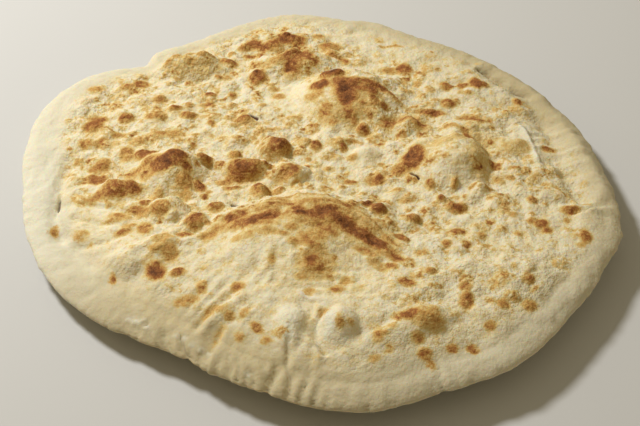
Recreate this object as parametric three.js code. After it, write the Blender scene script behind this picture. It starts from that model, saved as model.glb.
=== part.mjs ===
// A laffa: a large, thin flatbread with a rounded rim and a top that has puffed into bubbles in the oven.
// Millimetres, +Z up, +X to the right and +Y to the back. The outline and the bubbles are placed from a
// pole near the middle of the dough. The finished loaf is then moved so that its box is centred on the
// origin, which lies on the surface that the bread rests on.

import * as THREE from "three";
import { mergeVertices } from "three/addons/utils/BufferGeometryUtils.js";

// ---- Driving dimensions ----
const RIM_THICKNESS = 10;       // dough at the rounded edge, top to bottom
const EDGE_DEPTH = 11;          // how far the round of the edge reaches inwards
const RIM_SWELL = 1.6;          // how far the rim's shoulder stands above the valley inside it
const RIM_WIDTH = 34;           // from the edge to the bottom of that valley
const CROWN = 3;                // how much higher the middle is than the rim
const ROLL_RISE = 9;            // how far the dough swells up behind the front edge, in a long roll
const ROLL_WIDTH = 42;          // from the edge to the top of that roll
const ROLL_FADE = 50;           // from the top of the roll to where it has sunk back
const ROLL_DIRECTION = 265;     // degrees, from +X towards +Y: where the roll is highest
const ROLL_NARROWING = 1.5;     // above 1 the roll dies away sooner to either side
const LIFT_MEAN = 6.5;          // gap under the edge, averaged all round
const LIFT_SWING = 5;           // how much more the edge lifts on its high side, and less opposite
const LIFT_DIRECTION = 310;     // degrees, from +X towards +Y: where the edge lifts most
const FLAT_RADIUS = 62;         // the flat spot under the middle, which the bread rests on

// ---- Mesh density ----
const MESH_DETAIL = 20;         // subdivisions along each edge of the icosahedron that the loaf is pressed from
const TOP_SHARE = 0.61;         // share of the faces on top
const EDGE_SHARE = 0.21;        // share of the faces round the edge; the rest are underneath
const MERGE_TOLERANCE = 1e-4;   // on a sphere of radius 1

// Outline of the edge seen from above, drawn from a pole near the middle of the dough: a direction in
// degrees from +X towards +Y, and a radius. The values close together near 134 are the nick where two
// lobes of dough meet.
const OUTLINE = [
  [0, 155], [18, 149], [35, 144], [50, 142.5], [65, 143], [78, 148.5], [97, 155], [110, 150],
  [122, 147.5], [129, 149.5], [134, 145], [139, 153], [147, 163], [156, 166], [168, 162],
  [183, 155], [200, 154], [215, 152.5], [228, 149], [243, 145.5], [258, 154.5], [278, 169.5],
  [290, 167.5], [305, 169], [320, 164], [340, 165],
];

// Bubbles in the crust: centre, half length across, half lengths to the front and to the back of
// the crest, turn of the long axis in degrees, and how far the crest stands above the dough round it.
const BUBBLES = [
  { x: -2, y: -48, across: 54, front: 52, back: 28, turn: 0, rise: 15 },     // the great front bubble
  { x: 20, y: 64, across: 35, front: 36, back: 26, turn: -2, rise: 13 },     // the back bubble
  { x: -13, y: 98, across: 28, front: 19, back: 13, turn: 0, rise: 8 },      // its smaller neighbour
  { x: -19, y: 122, across: 34, front: 12, back: 10, turn: 4, rise: 4 },     // a fold behind both
  { x: 71, y: 3, across: 27, front: 27, back: 28, turn: 0, rise: 9.5 },      // the right bubble
  { x: 79, y: 5, across: 18, front: 20, back: 20, turn: 0, rise: 3.5 },      // and its steeper right half
  { x: 83, y: 34, across: 17, front: 13, back: 11, turn: 0, rise: 4 },
  { x: 107, y: 18, across: 13, front: 12, back: 11, turn: 0, rise: 4 },
  { x: -76, y: 2, across: 21, front: 26, back: 16, turn: 0, rise: 13 },      // the left bubble
  { x: -102, y: -13, across: 15, front: 13, back: 9, turn: 0, rise: 6 },
  { x: -71, y: 97, across: 26, front: 16, back: 13, turn: 8, rise: 9 },      // the puff beside the nick
  { x: -37, y: 0, across: 15, front: 12, back: 11, turn: 0, rise: 7 },
  { x: -21, y: 17, across: 12, front: 12, back: 11, turn: 0, rise: 7 },
  { x: -12, y: -6, across: 13, front: 12, back: 11, turn: 0, rise: 6 },
  { x: -30, y: -20, across: 10, front: 10, back: 9, turn: 0, rise: 5 },
  { x: 28, y: 13, across: 11, front: 10, back: 9, turn: 0, rise: 3.5 },
  { x: 50, y: 36, across: 12, front: 10, back: 10, turn: 0, rise: 5 },
  { x: -61, y: -46, across: 11, front: 11, back: 10, turn: 0, rise: 4 },
  { x: -75, y: -34, across: 13, front: 13, back: 12, turn: 0, rise: 8 },
  { x: -84, y: -68, across: 34, front: 12, back: 12, turn: 20, rise: 4 },    // the ridge at the front left
  { x: 13, y: -120, across: 12, front: 16, back: 12, turn: 0, rise: 6.5 },   // the pale bubble by the rim
  { x: -11, y: -121, across: 10, front: 16, back: 14, turn: 0, rise: 4 },
  { x: 57, y: -116, across: 12, front: 10, back: 10, turn: 0, rise: 4 },
  { x: 40, y: -128, across: 26, front: 9, back: 9, turn: 32, rise: 2.5 },
  { x: 98, y: -84, across: 26, front: 22, back: 18, turn: 0, rise: 3 },
];
const BUBBLE_FULLNESS = 1.4;    // above 1 a bubble's foot runs out gently into the dough
const FADE_WIDTH = 12;          // bubbles die away over this distance from the edge

// ---- Finish ----
const CRUST = new THREE.MeshStandardMaterial({ color: 0xdcc391, roughness: 0.85, metalness: 0 });

const FULL_TURN = 360;

/** Rises from 0 to 1 as a value goes from 0 to 1, level at both ends. */
function ease(value) {
  return THREE.MathUtils.smoothstep(value, 0, 1);
}

/** The slope of the outline at one of its points, taken from the points on either side. */
function outlineSlope(index) {
  const count = OUTLINE.length;
  const [previousAngle, previousRadius] = OUTLINE[(index + count - 1) % count];
  const [nextAngle, nextRadius] = OUTLINE[(index + 1) % count];
  const span = (nextAngle - previousAngle + FULL_TURN) % FULL_TURN;
  return (nextRadius - previousRadius) / span;
}

/** The outline's radius in a direction given in degrees: a smooth closed curve through OUTLINE. */
function outlineRadius(direction) {
  const angle = THREE.MathUtils.euclideanModulo(direction, FULL_TURN);
  let index = OUTLINE.length - 1;
  while (index > 0 && OUTLINE[index][0] > angle) {
    index -= 1;
  }
  const following = (index + 1) % OUTLINE.length;
  const [startAngle, startRadius] = OUTLINE[index];
  const [endAngle, endRadius] = OUTLINE[following];
  const span = (endAngle - startAngle + FULL_TURN) % FULL_TURN;
  const t = (angle - startAngle) / span;
  const startPull = outlineSlope(index) * span;
  const endPull = outlineSlope(following) * span;
  return (
    startRadius * (2 * t ** 3 - 3 * t ** 2 + 1) +
    startPull * (t ** 3 - 2 * t ** 2 + t) +
    endRadius * (3 * t ** 2 - 2 * t ** 3) +
    endPull * (t ** 3 - t ** 2)
  );
}

/** The gap under the edge in one direction, for a share of the way out from the middle. */
function lift(direction, share) {
  const lean = Math.cos(THREE.MathUtils.degToRad(direction - LIFT_DIRECTION));
  return LIFT_MEAN + LIFT_SWING * share * lean;
}

/** 1 where the front roll is highest, falling to 0 at either side of the bread. */
function frontness(direction) {
  const lean = Math.cos(THREE.MathUtils.degToRad(direction - ROLL_DIRECTION));
  return Math.max(0, lean) ** ROLL_NARROWING;
}

/** How far one bubble raises the crust at a point. */
function bubbleHeight(bubble, x, y) {
  const turn = THREE.MathUtils.degToRad(bubble.turn);
  const along = (x - bubble.x) * Math.cos(turn) + (y - bubble.y) * Math.sin(turn);
  const deep = (y - bubble.y) * Math.cos(turn) - (x - bubble.x) * Math.sin(turn);
  const reach = deep < 0 ? bubble.front : bubble.back;
  const distance = Math.hypot(along / bubble.across, deep / reach);
  return distance < 1 ? bubble.rise * (1 - distance ** 2) ** BUBBLE_FULLNESS : 0;
}

/** How far the long roll behind the front edge raises the crust, for its distance in from the edge. */
function rollHeight(direction, inset) {
  const climb = 1 - Math.max(0, 1 - inset / ROLL_WIDTH) ** 2;
  const sunk = ease((inset - ROLL_WIDTH) / ROLL_FADE);
  return ROLL_RISE * frontness(direction) * climb * (1 - sunk);
}

/** The height of the top crust at a point, where inset is its distance in from the round of the edge. */
function topHeight(x, y, direction, share, inset) {
  const shoulder = (1 + Math.cos(Math.PI * Math.min(inset / RIM_WIDTH, 1))) / 2;
  const valley = RIM_SWELL * (1 - frontness(direction)) * (1 - shoulder);
  const crown = CROWN * (1 - share ** 2);
  const bubbles = BUBBLES.reduce((sum, bubble) => sum + bubbleHeight(bubble, x, y), 0);
  const plain = RIM_THICKNESS + lift(direction, share) + crown - valley + rollHeight(direction, inset);
  return plain + bubbles * ease(inset / FADE_WIDTH);
}

/** The height of the underside, level at 0 as far as FLAT_RADIUS and rising from there to the edge. */
function undersideHeight(direction, distance, inner) {
  return lift(direction, 1) * ease((distance - FLAT_RADIUS) / (inner - FLAT_RADIUS));
}

/** Presses one point of the unit sphere into the loaf. */
function press(point) {
  const direction = THREE.MathUtils.radToDeg(Math.atan2(point.y, point.x));
  const outward = new THREE.Vector2(point.x, point.y).normalize();
  const inner = outlineRadius(direction) - EDGE_DEPTH;
  const depthShare = (1 - point.z) / 2;

  if (depthShare < TOP_SHARE) {
    const share = Math.sqrt(depthShare / TOP_SHARE);
    const distance = inner * share;
    const [x, y] = outward.multiplyScalar(distance).toArray();
    return point.set(x, y, topHeight(x, y, direction, share, inner - distance));
  }

  if (depthShare < TOP_SHARE + EDGE_SHARE) {
    const angle = Math.PI * (0.5 - (depthShare - TOP_SHARE) / EDGE_SHARE);
    const [x, y] = outward.multiplyScalar(inner + EDGE_DEPTH * Math.cos(angle)).toArray();
    const middle = lift(direction, 1) + RIM_THICKNESS / 2;
    return point.set(x, y, middle + (RIM_THICKNESS / 2) * Math.sin(angle));
  }

  const share = Math.sqrt((1 - depthShare) / (1 - TOP_SHARE - EDGE_SHARE));
  const distance = inner * share;
  const [x, y] = outward.multiplyScalar(distance).toArray();
  return point.set(x, y, undersideHeight(direction, distance, inner));
}

/** The whole bread as one closed geometry. */
function loafGeometry() {
  const ball = new THREE.IcosahedronGeometry(1, MESH_DETAIL);
  ball.deleteAttribute("normal");
  ball.deleteAttribute("uv");
  const loaf = mergeVertices(ball, MERGE_TOLERANCE);
  const positions = loaf.getAttribute("position");
  const point = new THREE.Vector3();
  for (let index = 0; index < positions.count; index += 1) {
    press(point.fromBufferAttribute(positions, index));
    positions.setXYZ(index, point.x, point.y, point.z);
  }
  loaf.computeBoundingBox();
  const middle = loaf.boundingBox.getCenter(new THREE.Vector3());
  loaf.translate(-middle.x, -middle.y, 0);
  loaf.computeVertexNormals();
  return loaf;
}

const laffa = new THREE.Mesh(loafGeometry(), CRUST);
laffa.name = "laffa";

const bread = new THREE.Group();
bread.add(laffa);

export default bread;
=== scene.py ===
"""Looks of a laffa, a large puffed flatbread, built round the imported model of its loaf.

The dough is laid out in millimetres from a pole near its middle, +X to the right, +Y to the back and
+Z up. A dense ball is pressed into the plain loaf, its crust is puffed into bubbles, blisters, folds
and wrinkles, and the same features say where the oven has toasted it. The finished skin is then set
in the frame's box, in metres.
"""

import logging
import math
from dataclasses import dataclass, field

import bmesh
import bpy
import numpy as np
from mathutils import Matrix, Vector, kdtree, noise

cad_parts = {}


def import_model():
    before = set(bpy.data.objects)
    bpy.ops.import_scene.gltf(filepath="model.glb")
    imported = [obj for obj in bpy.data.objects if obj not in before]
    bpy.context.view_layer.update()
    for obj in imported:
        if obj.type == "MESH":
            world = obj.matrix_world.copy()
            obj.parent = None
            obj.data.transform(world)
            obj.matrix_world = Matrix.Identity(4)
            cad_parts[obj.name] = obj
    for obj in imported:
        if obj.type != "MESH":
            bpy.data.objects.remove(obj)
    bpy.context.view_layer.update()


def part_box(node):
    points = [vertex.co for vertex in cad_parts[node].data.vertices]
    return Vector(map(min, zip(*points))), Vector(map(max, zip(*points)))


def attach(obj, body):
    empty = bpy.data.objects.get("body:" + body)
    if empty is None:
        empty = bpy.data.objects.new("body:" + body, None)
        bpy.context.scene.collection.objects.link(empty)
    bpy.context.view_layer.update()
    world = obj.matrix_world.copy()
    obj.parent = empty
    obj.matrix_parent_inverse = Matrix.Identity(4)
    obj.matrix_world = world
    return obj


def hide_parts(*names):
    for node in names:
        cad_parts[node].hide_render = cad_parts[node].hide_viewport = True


LOG = logging.getLogger("laffa")
MM = 0.001
NODE = "laffa"
BODY = "root"
GRAIN = "dough_grain"
DOME = 0.7  # a blister's shape: 1 is a mound, and towards 0.5 it stands like half a ball
HALO_FALL = 0.8  # how fast the soft halo of its toast fades, and how level it is at the middle
HALO_LEVEL = 1.5
PATCH_SHARE = 0.5  # how much of its toast is a firm patch, and how firm the patch's edge is
PATCH_FIRMNESS = 0.9
TINY = 1e-9

Colour = tuple[float, float, float, float]
Socket = bpy.types.NodeSocket


def colour(red: int, green: int, blue: int) -> Colour:
    """Turns a display colour into the linear colour that a shader takes.

    Args:
        red: the red part, 0 to 255.
        green: the green part, 0 to 255.
        blue: the blue part, 0 to 255.

    Returns:
        The linear colour with full alpha.
    """

    def linear(part: int) -> float:
        """One part of the colour, from display to linear."""
        share = part / 255
        return share / 12.92 if share <= 0.04045 else ((share + 0.055) / 1.055) ** 2.4

    return (linear(red), linear(green), linear(blue), 1.0)


def ease(value: np.ndarray) -> np.ndarray:
    """Rises from 0 to 1 as each value goes from 0 to 1, level at both ends."""
    held = np.clip(value, 0.0, 1.0)
    return held * held * (3.0 - 2.0 * held)


def scorch(closeness: np.ndarray) -> np.ndarray:
    """How much of its toast a blister keeps at each place: a halo that fades softly past its reach,
    and a firmer patch.

    Args:
        closeness: 1 at the blister's middle, 0 at its reach, and below 0 past it.

    Returns:
        The share of the toast, 0 to 1.
    """
    halo = np.exp(-HALO_FALL * np.clip(1.0 - closeness, 0.0, None) ** HALO_LEVEL)
    patch = ease(0.5 + PATCH_FIRMNESS * closeness)
    return (1.0 - PATCH_SHARE) * halo + PATCH_SHARE * patch


def around(table: tuple, direction: np.ndarray) -> np.ndarray:
    """Looks up a value in directions round the dough.

    Args:
        table: pairs of a direction in degrees and a value, going once round.
        direction: the directions asked for, in degrees.

    Returns:
        The value in each direction, changing evenly between the pairs.
    """
    angles = [angle for angle, _ in table]
    values = [value for _, value in table]
    return np.interp(direction, angles, values, period=360.0)


def turned(
    x: np.ndarray, y: np.ndarray, middle: tuple[float, float], degrees: float
) -> tuple[np.ndarray, np.ndarray]:
    """Measures places of the dough from a middle, along a turned direction and across it.

    Args:
        x: the places' x.
        y: the places' y.
        middle: the x and the y that they are measured from.
        degrees: how far the direction is turned from +X towards +Y.

    Returns:
        How far each place lies along the direction, and how far to the left of it.
    """
    turn = math.radians(degrees)
    along = (x - middle[0]) * math.cos(turn) + (y - middle[1]) * math.sin(turn)
    aside = (y - middle[1]) * math.cos(turn) - (x - middle[0]) * math.sin(turn)
    return along, aside


def path_distance(x: np.ndarray, y: np.ndarray, path: tuple) -> np.ndarray:
    """How far places of the dough lie from a bent line.

    Args:
        x: the places' x.
        y: the places' y.
        path: the line's corners, each an x and a y.

    Returns:
        The distance of each place, in millimetres.
    """
    nearest = np.full_like(x, np.inf)
    for (start_x, start_y), (end_x, end_y) in zip(path, path[1:]):
        run_x = end_x - start_x
        run_y = end_y - start_y
        along = ((x - start_x) * run_x + (y - start_y) * run_y) / (run_x**2 + run_y**2)
        held = np.clip(along, 0.0, 1.0)
        away = np.hypot(x - start_x - held * run_x, y - start_y - held * run_y)
        nearest = np.minimum(nearest, away)
    return nearest


@dataclass(frozen=True)
class Lumps:
    """Smooth uneven lumps in the dough: their height and their size in millimetres, how many layers
    of finer lumps they have, and a drift, which gives them a pattern of their own."""

    height: float
    size: float
    layers: int
    drift: float

    def over(self, points: np.ndarray, share: float | np.ndarray = 1.0) -> np.ndarray:
        """How far the lumps raise points of the dough.

        Args:
            points: the points, in millimetres, one row each.
            share: how much of their height they have, in all or at each point.

        Returns:
            One height for each point, in millimetres, above and below 0.
        """
        scaled = points / self.size + self.drift
        waves = np.array([noise.fractal(point, 1.0, 2.0, self.layers) for point in scaled.tolist()])
        return self.height * share * waves


@dataclass(frozen=True)
class Bubble:
    """A large place where the crust has puffed.

    It has a centre, a half length across, half lengths to the front and to the back of its crest,
    a rise, a turn in degrees, and a fullness, which is lower the more it stands like a ball.
    """

    x: float
    y: float
    across: float
    front: float
    back: float
    rise: float
    turn: float = 0.0
    fullness: float = 1.4

    def height(self, x: np.ndarray, y: np.ndarray) -> np.ndarray:
        """How far the bubble raises the crust.

        Args:
            x: the x of places of the dough.
            y: the y of the same places.

        Returns:
            The height at each place, in millimetres.
        """
        along, deep = turned(x, y, (self.x, self.y), self.turn)
        reach = np.where(deep < 0.0, self.front, self.back)
        distance = (along / self.across) ** 2 + (deep / reach) ** 2
        return self.rise * np.clip(1.0 - distance, 0.0, None) ** self.fullness


@dataclass(frozen=True)
class Blister:
    """A small blister that the oven has toasted: a centre, a reach, a rise, how toasted it is
    from 0 to 1, how much longer it is than wide, and the turn of its long side in degrees."""

    x: float
    y: float
    reach: float
    rise: float
    toast: float
    stretch: float = 1.0
    turn: float = 0.0

    def halo(self) -> float:
        """How far from its middle its toast can spread, in millimetres."""
        return 2.0 * self.reach * self.stretch

    def closeness(self, x: np.ndarray, y: np.ndarray) -> np.ndarray:
        """1 at the blister's middle, 0 at its reach, and below 0 past it, at each place."""
        along, deep = turned(x, y, (self.x, self.y), self.turn)
        return 1.0 - (along / (self.reach * self.stretch)) ** 2 - (deep / self.reach) ** 2


@dataclass(frozen=True)
class Calm:
    """A place where the crust stays smooth: a centre, two half widths, and how smooth it is."""

    x: float
    y: float
    across: float
    deep: float
    share: float

    def hush(self, x: np.ndarray, y: np.ndarray) -> np.ndarray:
        """How much of the blistering is left at each place, 1 well outside the calm."""
        distance = ((x - self.x) / self.across) ** 2 + ((y - self.y) / self.deep) ** 2
        return 1.0 - self.share * np.exp(-(distance**2))


@dataclass(frozen=True)
class Swarm:
    """Many small blisters strewn over the dough: how many, how far from the pole they go, the reach
    of the smallest and of the largest, their least rise and how much it varies, as shares of the
    reach, the most that one is toasted, how rare that is, past which reach the toast weakens, and
    how much longer than wide they get."""

    count: int
    spread: float
    smallest: float
    largest: float
    least_rise: float = 0.22
    more_rise: float = 0.26
    toast: float = 0.6
    rarity: float = 2.6
    toasted_reach: float = 3.6
    more_stretch: float = 0.6

    def strew(self, seed: int) -> list[Blister]:
        """Strews the blisters by a seeded draw, fewer where the crust is calm.

        Args:
            seed: the seed, to which the count is added.

        Returns:
            The blisters.
        """
        draw = np.random.default_rng(seed + self.count)
        found = []
        for _ in range(self.count):
            distance = self.spread * math.sqrt(draw.random())
            angle = math.tau * draw.random()
            x = distance * math.cos(angle)
            y = distance * math.sin(angle)
            reach = self.smallest + (self.largest - self.smallest) * draw.random() ** 2
            rise = reach * (self.least_rise + self.more_rise * draw.random())
            toast = self.toast * draw.random() ** self.rarity * min(1.0, self.toasted_reach / reach)
            stretch = 1.0 + self.more_stretch * draw.random()
            turn = 180.0 * draw.random()
            if draw.random() < math.prod(float(calm.hush(x, y)) for calm in CALMS):
                found.append(Blister(x, y, reach, rise, toast, stretch, turn))
        return found


@dataclass(frozen=True)
class Streak:
    """A toasted band along a bent line, with a half width, how toasted it is from 0 to 1, how much
    it has faded at its half width, and how level it is along its middle."""

    path: tuple
    reach: float
    toast: float
    fade: float = 0.75
    level: float = 2.6

    def brownness(self, x: np.ndarray, y: np.ndarray) -> np.ndarray:
        """How toasted the band is at each place: firm along the line and soft at its sides."""
        away = path_distance(x, y, self.path) / self.reach
        return self.toast * np.exp(-self.fade * away**self.level)


@dataclass(frozen=True)
class Crease:
    """A line where the crust folds, opens or tears: the line, its half width, its depth, which is
    below 0 for a ridge, how much painted shade darkens it, and how much flour colour it takes,
    0 to 1: raw dough at tears and crumbs, and a painted highlight on two lit slopes."""

    path: tuple
    width: float
    depth: float
    dark: float = 0.0
    raw: float = 0.0

    def fall(self, x: np.ndarray, y: np.ndarray) -> np.ndarray:
        """1 on the line and dying away over its half width, at each place."""
        return np.exp(-((path_distance(x, y, self.path) / self.width) ** 2))


@dataclass(frozen=True)
class Lap:
    """A place where one part of the dough lies over another: the edge of the upper part, from left
    to right, how far it stands up there, how far to the front it takes to sink back, how far from
    the left end it takes to rise, how far it goes on past the right end, and how wide its lip is."""

    path: tuple
    rise: float
    run: float
    start: float = 8.0
    past: float = 6.0
    lip: float = 1.6

    def height(self, x: np.ndarray, y: np.ndarray) -> np.ndarray:
        """How far the upper part stands up.

        Args:
            x: the x of places of the dough.
            y: the y of the same places.

        Returns:
            The height at each place, in millimetres.
        """
        along = np.array([place[0] for place in self.path])
        edge = np.interp(x, along, np.array([place[1] for place in self.path]))
        inside = ease((x - along[0]) / self.start) * (x < along[-1] + self.past)
        ahead = edge - y
        lip = ease(ahead / self.lip) * np.exp(-np.clip(ahead, 0.0, None) / self.run)
        return self.rise * lip * inside


@dataclass(frozen=True)
class Wrinkles:
    """A place with many fine wrinkles side by side: a centre, two half widths, the direction that
    the wrinkles run in, how far apart they are, how deep, how wide they are for their length, and
    how many half widths out the last of them is."""

    x: float
    y: float
    across: float
    deep: float
    turn: float
    pitch: float
    depth: float
    slimness: float = 0.22
    last: float = 2.0

    def relief(self, x: np.ndarray, y: np.ndarray) -> np.ndarray:
        """How far the wrinkles raise the crust.

        Args:
            x: the x of places of the dough.
            y: the y of the same places.

        Returns:
            The height at each place, in millimetres, below 0 in a furrow.
        """
        distance = ((x - self.x) / self.across) ** 2 + ((y - self.y) / self.deep) ** 2
        near = np.flatnonzero(distance < self.last**2)
        along, aside = turned(x[near], y[near], (0.0, 0.0), self.turn)
        strip = np.column_stack((self.slimness * along, aside, np.zeros_like(along)))
        ripples = Lumps(self.depth, self.pitch, 2, self.x)
        raised = np.zeros_like(x)
        raised[near] = ripples.over(strip) * np.exp(-(distance[near] ** 2))
        return raised


# the edge of the dough: a direction in degrees and the distance from the pole, going once round
OUTLINE = (
    (0, 155), (18, 149), (35, 144), (50, 142.5), (65, 143), (78, 148.5), (97, 155), (110, 150),
    (122, 147.5), (129, 149.5), (134, 145), (139, 153), (147, 163), (156, 166), (168, 162), (183, 155),
    (200, 154), (215, 152.5), (228, 149), (243, 145.5), (258, 154.5), (278, 169.5), (290, 167.5),
    (305, 169), (320, 164), (340, 165),
)

# the large bubbles, and swellings between them
BUBBLES = (
    Bubble(-2, -48, 54, 52, 28, 15),
    Bubble(20, 64, 35, 36, 26, 13, turn=-2),
    Bubble(-13, 97.5, 28, 19, 12, 8),
    Bubble(-19, 122, 34, 12, 9, 4, turn=4),
    Bubble(71, 3, 25, 25, 27, 9.5, fullness=1.2),
    Bubble(79, 5, 17, 20, 20, 3.8, fullness=1.0),
    Bubble(83, 34, 17, 13, 10, 4),
    Bubble(107, 18, 12, 11, 9, 6),
    Bubble(-76, 2, 20, 26, 15, 13),
    Bubble(-102, -13, 14, 13, 6, 6),
    Bubble(-71, 97, 26, 16, 12, 9, turn=8),
    Bubble(-37, 0, 13, 10, 9, 7, fullness=0.8),
    Bubble(-21.5, 17, 10, 10, 9, 7, fullness=0.7),
    Bubble(-12.5, -6, 11, 10, 9, 6, fullness=0.75),
    Bubble(-30.5, -20, 7.5, 8, 7, 5, fullness=0.7),
    Bubble(28, 13, 9, 8, 7, 3.5, fullness=1.1),
    Bubble(-61, -46, 8.5, 9, 9, 4, fullness=1.0),
    Bubble(-75, -34.5, 11.5, 12, 10, 8, fullness=0.85),
    Bubble(-84, -68, 34, 12, 12, 4, turn=20),
    Bubble(-76, -64, 10, 9, 8, 3, fullness=1.0),
    Bubble(-40, 25, 8, 9, 8, 2.5),
    Bubble(13, -124, 9.0, 13, 11, 6.2, fullness=1.1),
    Bubble(-11, -122, 8, 16, 12, 5, fullness=1.1),
    Bubble(57, -117, 12, 12, 9, 4.4),
    Bubble(40, -128, 26, 8, 8, 2.5, turn=32),
    Bubble(98, -84, 26, 22, 18, 3),
    Bubble(50, 36, 10, 9, 8, 5),
    Bubble(86, -18, 7, 6, 4, 2.5),
)

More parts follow.
